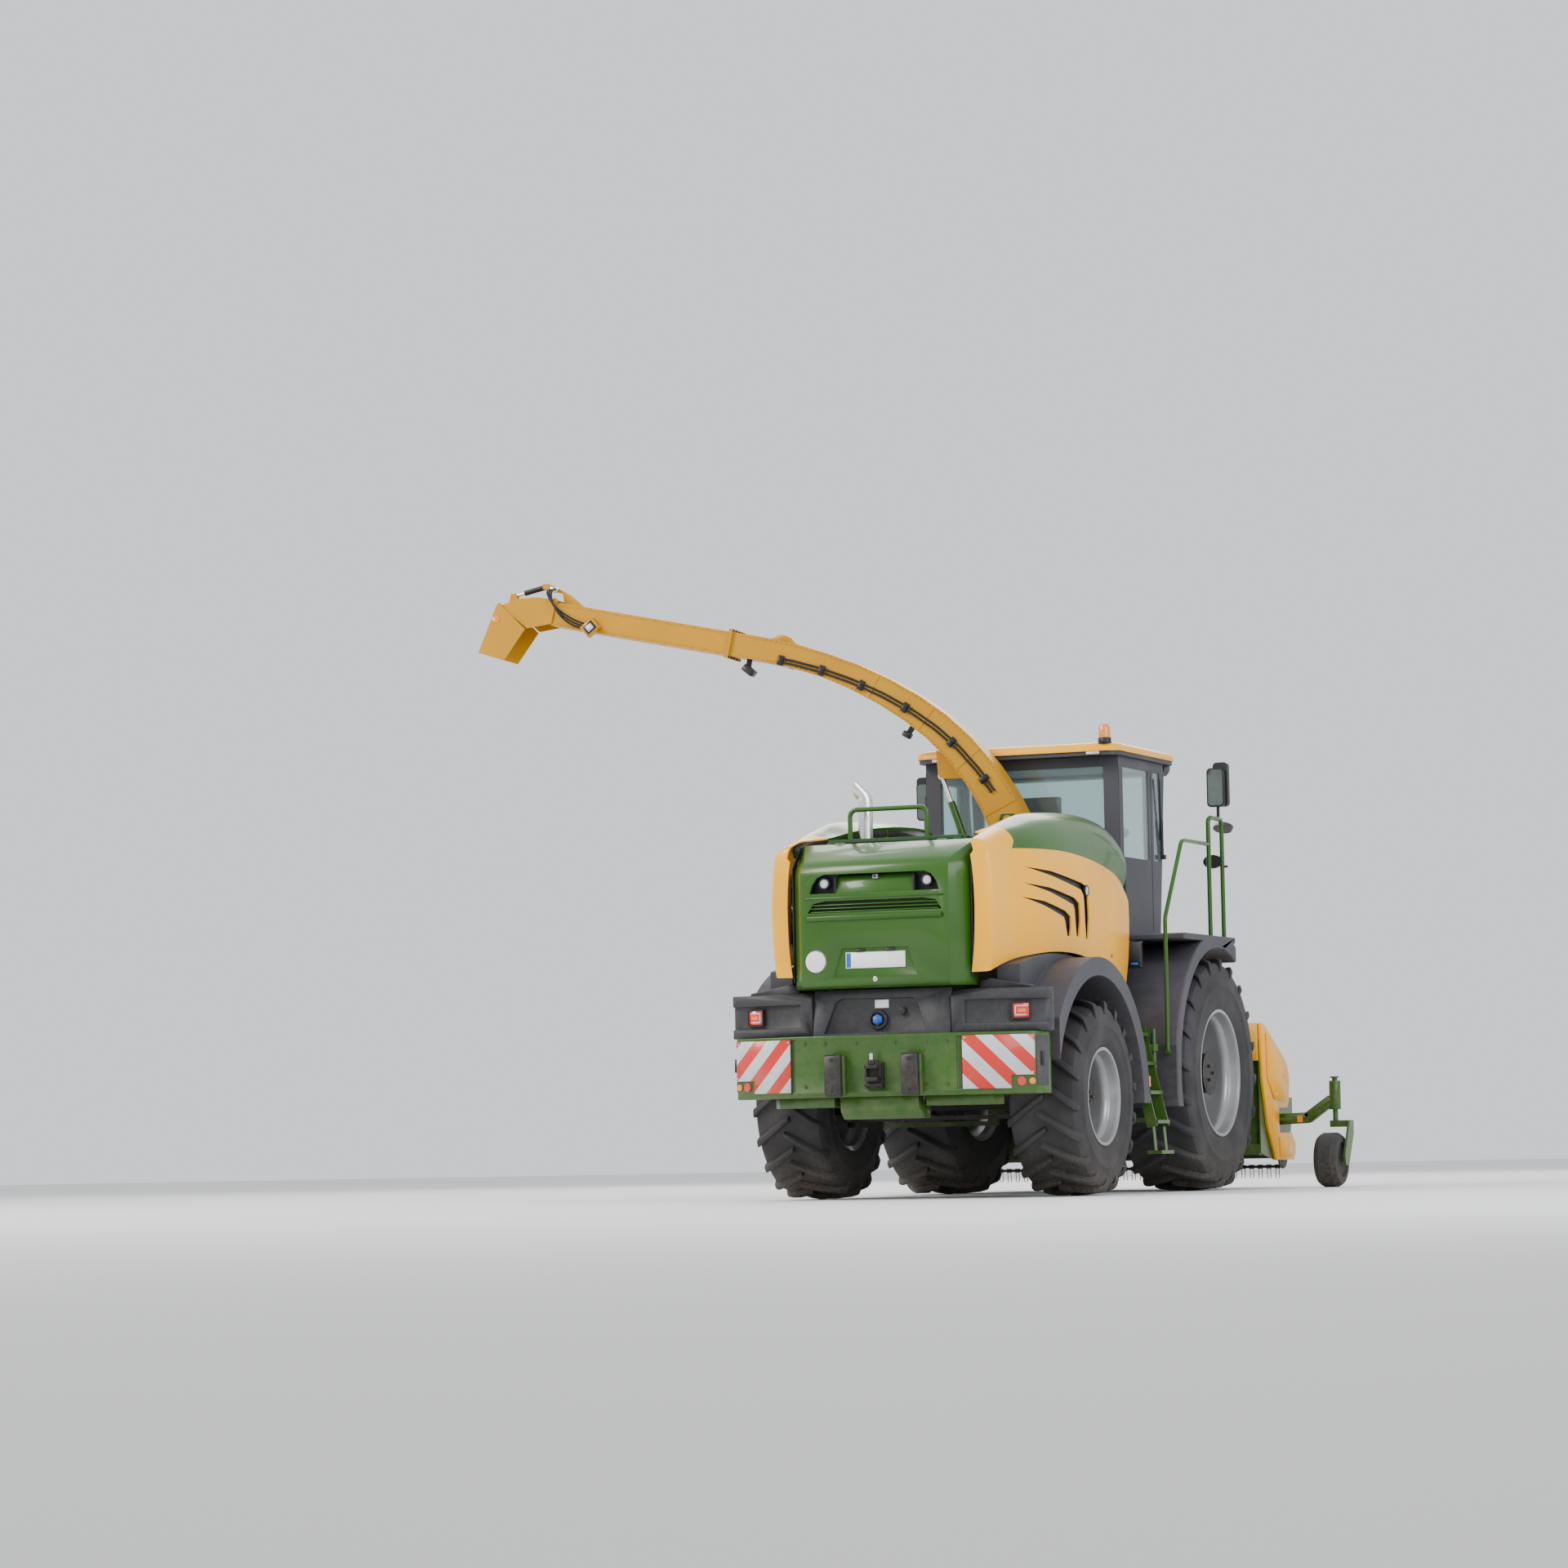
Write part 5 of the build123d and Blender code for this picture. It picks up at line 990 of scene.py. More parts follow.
plates = Form().skin([[on_face(x, out, z)
                       for x, z in ((x0, 0.880), (1.118, 0.880), (1.118, 0.985), (x1, 0.985), (x1, 1.310),
                                    (x0, 1.310))]
             for out in (0.0006, 0.0140)])
piece("warning_plates_face", plates.mirrored(), "chassis", "warning_film", BARS, edge=0.002,
      replaces=("warning_plates",))
round_lamp = Form().turned([(0.036, 0), (0.036, 0.012), (0.031, 0.017), (MIDDLE, 0.019), (MIDDLE, 0)],
                           (0, 0, 0), "Y", 36)
round_lamp.moved(Matrix.Translation(on_face(1.195, 0.0, 0.935)) @ Matrix.Rotation(-FACE_TURN, 4, "Z"))
piece("bumper_round_lamps", round_lamp.mirrored(), "chassis", "lamp_red", RED)
amber = Form().turned([(0.026, 0), (0.026, 0.010), (MIDDLE, 0.014), (MIDDLE, 0)], (0, 0, 0), "Y", 32)
amber.moved(Matrix.Translation(on_face(1.278, 0.0, 0.935)) @ Matrix.Rotation(-FACE_TURN, 4, "Z"))
piece("bumper_amber_lamps", amber.mirrored(), "chassis", "lamp_red", AMBER)
END_TURN = atan2(BEND[1] - TIP[1], TIP[0] - BEND[0])


def on_end(share, out, z):
    return (BEND[0] + (TIP[0] - BEND[0]) * share + out * sin(END_TURN),
            BEND[1] + (TIP[1] - BEND[1]) * share + out * cos(END_TURN), z)


ends = Form().skin([[on_end(s, out, z) for s, z in ((0.06, 0.90), (0.94, 0.90), (0.94, 1.30), (0.06, 1.30))]
                    for out in (0.0006, 0.006)])
piece("bumper_end_panels", ends.mirrored(), "chassis", "grey_plastic", GREY, edge=0.002)
grips = Form().bar(on_end(0.5, 0.006, 1.06), on_end(0.5, 0.006, 1.17), 0.030, 0.050, (0, 1, 0))
piece("bumper_end_grips", grips.mirrored(), "chassis", "black_plastic", BLACK, edge=0.004)
bolts = []
for x, z in ((0.62, 1.27), (0.62, 0.93), (0.44, 1.27), (0.44, 0.93), (0.17, 1.27)):
    for mark in (-1, 1):
        bolts.append(((mark * x, 1.5301, z), facing(0, 1)))
copies("bumper_bolts", bolt(0.011, 0.010), bolts, "chassis", "frame_green", DARK_GREEN)
pins = []
for x, z in ((0.765, 1.290), (1.280, 1.290), (0.765, 0.900), (1.098, 0.900), (1.280, 1.005)):
    for mark in (-1, 1):
        px, py, pz = on_face(x, 0.0141, z)
        pins.append(((mark * px, py, pz), facing(mark * sin(FACE_TURN), cos(FACE_TURN))))
copies("warning_plate_bolts", bolt(0.006, 0.005), pins, "chassis", "chrome", CHROME)
strips = Form().skin([[on_face(x, out, z)
                       for x, out in ((0.7385, 0.0), (0.7440, 0.0), (0.7440, 0.012), (0.7385, 0.012))]
                      for z in (0.872, 1.312)])
piece("bumper_strips", strips.mirrored(), "chassis", "black_plastic", BLACK)

# ---------------------------------------------------------------- tow hitch and buffers
jaw = Form().block(-0.075, 0.075, 1.5305, 1.571, 0.900, 1.110)
for z in (0.960, 1.060):
    jaw.prism([(-0.055, 1.570), (0.055, 1.570), (0.055, 1.638), (0.032, 1.658), (-0.032, 1.658),
               (-0.055, 1.638)], "Z", z, z + 0.030)
jaw.block(-0.045, 0.045, 1.570, 1.600, 1.089, 1.125)
bore = Form().turned([(MIDDLE, 0.94), (0.020, 0.94), (0.020, 1.112), (MIDDLE, 1.112)], (0, 1.6205, 0), "Z", 32)
piece("tow_jaw", jaw, "chassis", "black_iron", IRON, edge=0.005, cut=bore, replaces=("tow_hitch",))
guide = Form().turned([(0.030, 1.091), (0.030, 1.128), (0.020, 1.134), (0.0195, 1.091)], (0, 1.6205, 0), "Z",
                      32)
guide.bar((-0.060, 1.585, 1.080), (-0.060, 1.585, 0.975), 0.022, 0.030, (0, 1, 0))
guide.bar((0.060, 1.585, 1.080), (0.060, 1.585, 0.975), 0.022, 0.030, (0, 1, 0))
guide.rod((-0.078, 1.590, 0.930), (0.078, 1.590, 0.930), 0.012)
piece("tow_jaw_guide", guide, "chassis", "black_iron", IRON, edge=0.003)
piece("tow_pin",
      Form().turned([(0.0185, 1.125), (0.0185, 1.180), (0.015, 1.184), (MIDDLE, 1.184), (MIDDLE, 1.125)],
                    (0, 1.6205, 0), "Z", 32),
      "chassis", "chrome", CHROME)
buffers = Form().prism([(1.590, 0.838), (1.636, 0.838), (1.655, 0.862), (1.655, 1.156), (1.636, 1.180),
                        (1.590, 1.180)], "X", 0.265, 0.405)
piece("tow_buffers", buffers.mirrored(), "chassis", "black_plastic", BLACK, edge=0.008)
plates = Form().block(0.255, 0.4145, 1.5305, 1.589, 0.850, 1.170)
piece("tow_buffer_seats", plates.mirrored(), "chassis", "body_green", GREEN, edge=0.003)
heads = []
for z in (0.885, 1.133):
    for x in (0.335,):
        for mark in (-1, 1):
            heads.append(((mark * x, 1.6551, z), facing(0, 1)))
copies("tow_buffer_bolts", bolt(0.010, 0.004), heads, "chassis", "black_iron", IRON)


# ---------------------------------------------------------------- spout's pipes, clamps and lamps
SPOUT_TURN = radians(97)
TURRET_Y, LAST_RUN, LAST_TURN = -1.650, 1.98, 11.9
PIPE_R, HOSE_R, PIPES_OFF = 0.010, 0.009, 0.176
DUCT = [(-0.045, 3.190, 68.3)]
for first, last, bend_r in ((68.3, 34.7, 2.342), (34.7, LAST_TURN, 3.782)):
    reach, height, _ = DUCT[-1]
    for k in range(1, 6):
        turn = first + (last - first) * k / 5
        DUCT.append((reach + bend_r * (sin(radians(first)) - sin(radians(turn))),
                     height + bend_r * (cos(radians(turn)) - cos(radians(first))), turn))
DUCT.append((DUCT[-1][0] + LAST_RUN * cos(radians(LAST_TURN)), DUCT[-1][1] + LAST_RUN * sin(radians(LAST_TURN)),
             LAST_TURN))


def at_spout(reach, height, off):
    """A place from its reach and height in the spout's plane; off is across it, rear side positive."""
    return (reach * sin(SPOUT_TURN) + off * cos(SPOUT_TURN),
            TURRET_Y - reach * cos(SPOUT_TURN) + off * sin(SPOUT_TURN), height)


def on_duct(s, side, rise, off):
    """A place at station s: side 1 counts rise from the upper edge, -1 from the lower, 0 from the middle."""
    k = min(int(s), len(DUCT) - 2)
    ends = []
    for i in (k, k + 1):
        reach, height, turn = DUCT[i]
        up = side * (0.165 - 0.060 * min(1, i / 8)) + rise
        ends.append(Vector((reach - up * sin(radians(turn)), height + up * cos(radians(turn)))))
    reach, height = ends[0] + (ends[1] - ends[0]) * (s - k)
    return at_spout(reach, height, off)


def along(s):
    return Vector(on_duct(s + 0.05, 0, 0, 0)) - Vector(on_duct(s - 0.05, 0, 0, 0))


def steps(first, last, count):
    return [first + (last - first) * k / count for k in range(count + 1)]


ACROSS = Vector(at_spout(0, 0, 1)) - Vector(at_spout(0, 0, 0))
pipes("spout_rear_pipes",
      [[on_duct(s, 0, low - 0.010 * s, PIPES_OFF) for s in steps(1.2, 9.4, 36)] for low in (0.045, 0.012)],
      PIPE_R, "spout", "black_iron", IRON)
pipes("spout_front_pipes",
      [[on_duct(s, 0, low - 0.010 * s, -PIPES_OFF) for s in steps(1.2, 9.4, 36)] for low in (0.045, 0.012)],
      PIPE_R, "spout", "black_iron", IRON)
clamps, seam, bolts = Form(), Form(), []
for s in (1.7, 3.3, 5.2, 6.7, 8.0, 9.3):
    for off in (-0.178, 0.178):
        clamps.bar(on_duct(s, 0, -0.016 - 0.010 * s, off), on_duct(s, 0, 0.073 - 0.010 * s, off), 0.026, 0.050,
                   tuple(along(s)))
piece("spout_pipe_clamps", clamps, "spout", "black_iron", IRON, edge=0.003)
for off, mark in ((-0.1652, -1), (0.1652, 1)):
    for side, first, last in ((1, 0.2, 10.10), (-1, 0.2, 10.10), (1, 10.17, 10.98), (-1, 10.17, 10.98)):
        places = steps(first, last, max(8, int((last - first) * 3)))
        seam.skin([[on_duct(s, side, side * rise, off + deep)
                    for rise, deep in ((-0.024, -0.003), (-0.018, -0.003), (-0.018, 0.003), (-0.024, 0.003))]
                   for s in places])
    for s in steps(0.3, 9.9, 62) + steps(10.2, 10.95, 12):
        for side in (1, -1):
            bolts.append((on_duct(s, side, -side * 0.012, off), facing(*(mark * ACROSS)[:2])))
piece("spout_seams", seam, "spout", "spout_yellow", SPOUT_YELLOW)
copies("spout_seam_bolts", bolt(0.0065, 0.006), bolts, "spout", "spout_yellow", SPOUT_YELLOW)

flange = Form()
for s0, s1 in ((10 + 0.278 / LAST_RUN, 10 + 0.290 / LAST_RUN), (10 + 0.2905 / LAST_RUN, 10 + 0.302 / LAST_RUN)):
    for side in (1, -1):
        flange.skin([[on_duct(s, side, side * rise, off)
                      for rise, off in ((-0.002, -0.191), (0.026, -0.191), (0.026, 0.191), (-0.002, 0.191))]
                     for s in (s0, s1)])
    for off in (-0.191, 0.1635):
        flange.skin([[on_duct(s, side, 0, off + wide)
                      for side, wide in ((-1, 0), (1, 0), (1, 0.0275), (-1, 0.0275))] for s in (s0, s1)])
piece("spout_flange", flange, "spout", "spout_yellow", SPOUT_YELLOW)
flange_bolts = []
for s0, way in ((10 + 0.278 / LAST_RUN, -1), (10 + 0.302 / LAST_RUN, 1)):
    for off in (-0.170, -0.085, 0.0, 0.085, 0.170):
        for side in (1, -1):
            flange_bolts.append((on_duct(s0, side, side * 0.014, off), way))
heads = Form()
for at, way in flange_bolts:
    a = Vector(at)
    heads.rod(a, a + along(10.5).normalized() * 0.011 * way, 0.010, 6)
piece("spout_flange_bolts", heads, "spout", "black_iron", IRON)
hump = Form().skin([[on_duct(s, 1, up, off)
                     for off, up in ((-0.060, 0.001), (-0.050, high), (0.050, high), (0.060, 0.001))]
                    for s, high in ((9.15, 0.008), (9.3, 0.050), (9.45, 0.060), (9.65, 0.055), (9.85, 0.008))])
piece("spout_top_plate", hump, "spout", "spout_yellow", SPOUT_YELLOW, edge=0.005)
saddle = Form()
for s in (0.7, 2.6, 4.5, 6.4):
    for off in (-0.1675, 0.1675):
        saddle.bar(on_duct(s, -1, 0.004, off), on_duct(s, 1, -0.004, off), 0.005, 0.045, tuple(along(s)))
piece("spout_ribs", saddle, "spout", "spout_yellow", SPOUT_YELLOW, edge=0.001, segments=1)


def lamp_on_spout(name, s, drop, off, turn, tilt, size):
    """A work lamp in its box below the duct, on a bracket, its glass facing along turn and tilted down."""
    wide, high, deep = size
    place = Matrix.Translation(on_duct(s, -1, -drop, off))
    place = place @ Matrix.Rotation(turn, 4, "Z") @ Matrix.Rotation(-tilt, 4, "X")
    piece(name + "_box", Form().block(-wide / 2, wide / 2, -deep, 0, -high / 2, high / 2).moved(place), "spout",
          "black_plastic", BLACK, edge=0.008)
    piece(name + "_glass",
          Form().block(-wide / 2 + 0.010, wide / 2 - 0.010, 0.0003, 0.005, -high / 2 + 0.010,
                       high / 2 - 0.010).moved(place),
          "spout", "glass", CLEAR, edge=0.003)
    piece(name + "_bracket",
          Form().bar(on_duct(s, -1, 0.004, off), on_duct(s, -1, -drop + high / 2 - 0.004, off), 0.008, 0.05,
                     tuple(along(s))),
          "spout", "black_iron", IRON)


OUTWARD = SPOUT_TURN - pi
lamp_on_spout("spout_work_lamp", 10.05, 0.125, 0.10, OUTWARD, radians(50), (0.130, 0.110, 0.06))
lamp_on_spout("spout_inner_lamp", 4.7, 0.110, 0.10, OUTWARD, radians(60), (0.090, 0.075, 0.05))

# boxed lamp on the duct's rear side by its mouth, set on its corner
corner_up = (along(10.8).normalized() + Vector((0, 0, 1))).normalized()
for name, low, high, wide, slot, finish in (("box", 0.163, 0.235, 0.140, "spout_yellow", SPOUT_YELLOW),
                                            ("dark", 0.2352, 0.2375, 0.104, "black_plastic", BLACK),
                                            ("glass", 0.2377, 0.242, 0.062, "glass", CLEAR)):
    panel = Form().bar(on_duct(10.80, -1, 0.035, low), on_duct(10.80, -1, 0.035, high), wide, wide * 0.85,
                       tuple(corner_up))
    piece("spout_mouth_lamp_" + name, panel, "spout", slot, finish, edge=0.003)

# valve block on the ear of the flap's cylinder, its hoses down the duct's side, and the flap's reflectors
valve = Form().bar(at_spout(4.12, 5.475, 0.036), at_spout(4.12, 5.475, 0.085), 0.050, 0.070, tuple(along(10.5)))
piece("spout_valve_block", valve, "spout", "chrome", CHROME, edge=0.004)
hoses = []
for k, sag in enumerate((0.0, 0.055, 0.110)):
    held = ((4.145 - 0.022 * k, 5.475, 0.084), (4.190 - 0.022 * k, 5.475, 0.270), (4.060, 5.200 - sag, 0.235))
    start, out, low = (Vector(at_spout(*at)) for at in held)
    end = Vector(on_duct(10.80, -1, 0.055 - 0.014 * k, 0.192))
    hoses.append([tuple((1 - t) ** 3 * start + 3 * t * (1 - t) ** 2 * out
                        + 3 * t * t * (1 - t) * low + t ** 3 * end) for t in steps(0, 1, 16)])
pipes("spout_hoses", hoses, HOSE_R, "spout", "black_iron", IRON)
mark = Form()
for side in (-1, 1):
    mark.rod(at_spout(4.630, 5.225, 0.1925 * side), at_spout(4.630, 5.225, 0.199 * side), 0.036, 32)
# these reflectors take the glowing amber lens: a painted glow, as they are no lamps
piece("end_flap_reflectors", mark, "end_flap", "lamp_red", AMBER, edge=0.001)


# ---------------------------------------------------------------- cab roof, beacon, wipers and side
def rounded(x0, x1, y0, y1, r, steps=6):
    """Plan outline of a block with round corners."""
    ring = []
    for cx, cy, start in ((x1 - r, y1 - r, 0), (x0 + r, y1 - r, 90), (x0 + r, y0 + r, 180),
                          (x1 - r, y0 + r, 270)):
        for k in range(steps + 1):
            turn = radians(start + 90 * k / steps)
            ring.append((cx + r * cos(turn), cy + r * sin(turn)))
    return ring


roof = Form().skin([[(x, y, z) for x, y in rounded(-0.955 + d, 0.955 - d, -3.475 + front, -1.855 - d, 0.12)]
                    for z, d, front in ((3.836, 0.0, 0.0), (3.872, 0.004, 0.010), (3.898, 0.020, 0.060),
                                        (3.913, 0.060, 0.14), (3.919, 0.14, 0.26))])
piece("cab_roof_cap", roof, "chassis", "machine_yellow", YELLOW, replaces=("cab_roof",))
band = Form().skin([[(x, y, z) for x, y in rounded(-0.940, 0.940, -3.460, -1.870, 0.11)]
                    for z in (3.8006, 3.8362)])
piece("cab_roof_band", band, "chassis", "black_plastic", GREY)
visor = Form().prism([(-3.215, 3.800), (-3.215, 3.735), (-3.330, 3.700), (-3.420, 3.745), (-3.455, 3.800)], "X",
                     -0.900, 0.900)
piece("cab_visor", visor, "chassis", "black_plastic", GREY, edge=0.010)
lamps = Form()
for x in (-0.74, -0.50, -0.26, 0.26, 0.50, 0.74):
    lamps.block(x - 0.070, x + 0.070, -3.432, -3.405, 3.722, 3.784)
piece("cab_visor_lamps", lamps, "chassis", "glass", CLEAR, edge=0.006)
back_lamps = Form()
for x in (-0.72, 0.72):
    back_lamps.block(x - 0.060, x + 0.060, -1.872, -1.852, 3.806, 3.832)
piece("cab_rear_lamps", back_lamps, "chassis", "glass", CLEAR, edge=0.004)
beacon = Form().turned([(0.052, 3.950), (0.054, 3.990), (0.050, 4.045), (0.036, 4.068), (MIDDLE, 4.069),
                        (MIDDLE, 3.950)], (-0.82, -1.90, 0), "Z", 48)
piece("beacon_dome", beacon, "chassis", "lamp_red", AMBER)
foot = Form().turned([(0.058, 3.900), (0.058, 3.949), (MIDDLE, 3.949), (MIDDLE, 3.900)], (-0.82, -1.90, 0), "Z",
                     40)
piece("beacon_foot", foot, "chassis", "black_plastic", BLACK, edge=0.004)

wipers = Form()
for mark in (1, -1):
    wipers.rod((mark * 0.905, -3.140, 2.98), (mark * 0.918, -3.060, 3.66), 0.009)
    wipers.rod((mark * 0.905, -3.140, 2.98), (mark * 0.915, -3.110, 3.30), 0.014)
    wipers.block(mark * 0.900, mark * 0.935, -3.165, -3.115, 2.945, 2.985)
piece("side_wipers", wipers, "chassis", "black_plastic", BLACK)
seams = Form()
for y in (-2.012, -2.868):
    seams.block(0.9005, 0.9025, y - 0.003, y + 0.003, 2.30, 3.72)
piece("cab_side_seams", seams.mirrored(), "chassis", "black_plastic", BLACK)
grip = Form().block(-0.9155, -0.9005, -2.12, -2.07, 2.60, 2.83)
piece("cab_side_recess", grip, "chassis", "black_plastic", BLACK, edge=0.004)

service = Form().block(-1.16, -0.90, -1.800, -1.735, 1.93, 2.160)
piece("service_box", service.mirrored(), "chassis", "black_plastic", BLACK, edge=0.008)
bottles = Form()
for x in (-0.94, -1.00):
    bottles.turned([(0.024, 1.945), (0.024, 2.030), (0.014, 2.045), (MIDDLE, 2.045), (MIDDLE, 1.945)],
                   (x, -1.712, 0), "Z", 24)
piece("service_bottles", bottles, "chassis", "grey_plastic", WHITE)
tap = Form().block(-1.135, -1.075, -1.735, -1.712, 1.955, 1.975)
piece("service_tap", tap, "chassis", "grey_plastic", BLUE, edge=0.004)

# ---------------------------------------------------------------- mirrors
MIRROR = bare_metal("mirror glass", (0.16, 0.19, 0.17), 0.06, 0.05)
heads, glasses, poles = Form(), Form(), Form()
for mark in (1, -1):
    x = mark * 1.400
    heads.skin([[(px, y, pz)
                 for px, pz in rounded(x - 0.080 - mark * 0.010, x + 0.080 - mark * 0.010, 3.398, 3.745, 0.035)]
                for y in (-3.262, -3.215)])
    heads.skin([[(px, y, pz)
                 for px, pz in rounded(x - 0.068 + mark * 0.020, x + 0.068 + mark * 0.020, 3.402, 3.798, 0.035)]
                for y in (-3.330, -3.268)])
    glasses.skin([[(px, y, pz)
                   for px, pz in rounded(x - 0.068 - mark * 0.010, x + 0.068 - mark * 0.010, 3.412, 3.730,
                                         0.028)]
                  for y in (-3.2147, -3.2120)])
    poles.rod((x, -3.250, 3.3115), (x, -3.250, 3.402), 0.014)
    poles.rod((x, -3.330, 3.150), (x - mark * 0.02, -3.420, 3.210), 0.011)
    poles.rod((x, -3.330, 2.960), (x - mark * 0.05, -3.300, 2.930), 0.011)
    heads.skin([[(x - mark * 0.02 + px, -3.420 + py, 3.210 + pz) for px, py, pz in
                 [(0.085 * cos(pi * k / 9), 0.090 * sin(pi * k / 9) - 0.05 * d,
                   0.035 * sin(pi * k / 9) + d * 0.030) for k in range(18)]]
                for d in (0, 1)])
    oval = [(0.090 * cos(pi * k / 12), 0.062 * sin(pi * k / 12)) for k in range(24)]
    heads.skin([[(x - mark * 0.075 + s * px, y, 2.915 + s * pz) for px, pz in oval]
                for y, s in ((-3.335, 0.5), (-3.320, 0.85), (-3.295, 1.0), (-3.280, 0.98))])
    poles.rod((x, -3.330, 2.870), (x + mark * 0.050, -3.335, 2.870), 0.010)
    if mark > 0:
        heads.turned([(0.032, 0.050), (0.032, 0.085), (0.022, 0.110), (MIDDLE, 0.112), (MIDDLE, 0.050)],
                     (0, -3.335, 2.870), "X", 24)
piece("mirror_heads", heads, "chassis", "black_plastic", BLACK, replaces=("mirrors",))
piece("mirror_glasses", glasses, "chassis", "chrome", MIRROR)
piece("mirror_poles", poles, "chassis", "black_iron", IRON)

# ---------------------------------------------------------------- fender trim and hub plates
marks = Form()
marks.block(1.3955, 1.3985, -1.226, -1.185, 0.90, 0.99)
# these reflectors take the glowing amber lens: a painted glow, as they are no lamps
piece("fender_reflectors", marks.mirrored(), "chassis", "lamp_red", AMBER, edge=0.001)
for name, radius, face, hub_at in (("front", 0.196, 0.225, (FRONT_X, -WHEELBASE, FRONT_R)),
                                   ("rear", 0.132, 0.150, (REAR_X, 0.0, REAR_R))):
    for hand, mark in (("left", 1), ("right", -1)):
        plate = Form().turned([(radius, face - 0.002), (radius, face + 0.003), (0.6 * radius, face + 0.004),
                               (MIDDLE, face + 0.004), (MIDDLE, face - 0.002)], hub_at, "X", 48)
        if mark < 0:
            plate.flipped()
        piece(f"hub_plate_{name}_{hand}", plate, f"{name}_wheel_{hand}", "black_iron", IRON)


# ---------------------------------------------------------------- pickup header
REAR = -4.130
INSIDE = 1.4525
NOSE = [(REAR + 0.060, 1.490), (REAR - 0.040, 1.480), (REAR - 0.640, 1.170), (REAR - 0.720, 1.100),
        (REAR - 0.760, 1.000), (REAR - 0.740, 0.800), (REAR - 0.690, 0.730), (REAR - 0.430, 0.720),
        (REAR - 0.430, 0.500), (REAR - 0.800, 0.500), (REAR - 0.890, 0.420), (REAR - 0.860, 0.250),
        (REAR - 0.330, 0.255), (REAR - 0.100, 0.560), (REAR + 0.040, 1.000)]
covers = Form().prism(NOSE, "X", INSIDE, INSIDE + 0.036)
piece("header_side_covers", covers.mirrored(), "header", "machine_yellow", YELLOW, edge=0.008,
      replaces=("header_covers",))
layer = Form().prism([(REAR - 0.060, 1.405), (REAR - 0.600, 1.125), (REAR - 0.670, 1.050),
                      (REAR - 0.685, 0.840), (REAR - 0.640, 0.785), (REAR - 0.260, 0.800),
                      (REAR - 0.060, 1.000)], "X", INSIDE + 0.0355, INSIDE + 0.0545)
piece("header_cover_panels", layer.mirrored(), "header", "machine_yellow", YELLOW, edge=0.006)
shoe = Form().prism([(REAR - 0.400, 0.290), (REAR - 0.840, 0.290), (REAR - 0.855, 0.400), (REAR - 0.780, 0.455),
                     (REAR - 0.400, 0.455)],
                    "X", INSIDE + 0.0355, INSIDE + 0.0545)
piece("header_shoes", shoe.mirrored(), "header", "machine_yellow", YELLOW, edge=0.008)
hood = Form().prism([(REAR + 0.060, 1.490), (REAR - 0.040, 1.480), (REAR - 0.640, 1.170), (REAR - 0.655, 1.148),
                     (REAR - 0.045, 1.455), (REAR + 0.055, 1.465)], "X", -INSIDE, INSIDE)
hood.block(-INSIDE, INSIDE, REAR + 0.055, REAR + 0.080, 1.150, 1.490)
piece("header_hood", hood, "header", "machine_yellow", YELLOW, edge=0.006)
marks = Form().block(INSIDE + 0.0547, INSIDE + 0.0575, REAR - 0.700, REAR - 0.640, 0.330, 0.415)
# these reflectors take the glowing amber lens: a painted glow, as they are no lamps
piece("header_reflectors", marks.mirrored(), "header", "lamp_red", AMBER)
heads = []
for y, z in ((-0.130, 1.30), (-0.40, 1.16), (-0.62, 1.02), (-0.64, 0.86), (-0.30, 0.85), (-0.11, 1.05)):
    for mark in (-1, 1):
        heads.append(((mark * (INSIDE + 0.0546), REAR + y, z), facing(mark, 0)))
copies("header_cover_bolts", bolt(0.009, 0.007), heads, "header", "chrome", CHROME)

# reel: shaft, carrier discs, tine bars and spring tines
REEL_Y, REEL_Z = REAR - 0.770, 0.320
HALF = 1.410
SHAFT_R = 0.0302
BARS_R, TINE_PITCH = 0.130, 0.082
reel = Form().turned([(0.055, -HALF), (0.055, HALF), (SHAFT_R, HALF), (SHAFT_R, -HALF)], (0, REEL_Y, REEL_Z),
                     "X", 32)
for i in range(5):
    x = -HALF + 0.010 + (2 * HALF - 0.020) * i / 4
    reel.turned([(0.150, x - 0.006), (0.150, x + 0.006), (0.050, x + 0.006), (0.050, x - 0.006)],
                (0, REEL_Y, REEL_Z), "X", 40)
tines = []
for row in range(4):
    turn = 0.120 + pi / 2 * row
    at = Vector((0, cos(turn), sin(turn))) * BARS_R
    reel.rod((-HALF, REEL_Y + at.y, REEL_Z + at.z), (HALF, REEL_Y + at.y, REEL_Z + at.z), 0.013)
    for i in range(34):
        tines.append((((i - 16.5) * TINE_PITCH, REEL_Y + at.y, REEL_Z + at.z), (turn, 0, 0)))
piece("reel_core", reel, "tine_reel", "black_iron", IRON, replaces=("tine_reel",))
tine = Form()
for x in (-0.016, 0.016):
    tine.rod((x, 0.0, 0.0), (x, 0.062, -0.014), 0.0038, 8)
    tine.rod((x, 0.062, -0.014), (x, 0.106, -0.018), 0.0036, 8)
tine.rod((-0.022, 0.0, 0.0), (0.022, 0.0, 0.0), 0.020, 10)
copies("reel_tines", tine, tines, "tine_reel", "black_iron", IRON)

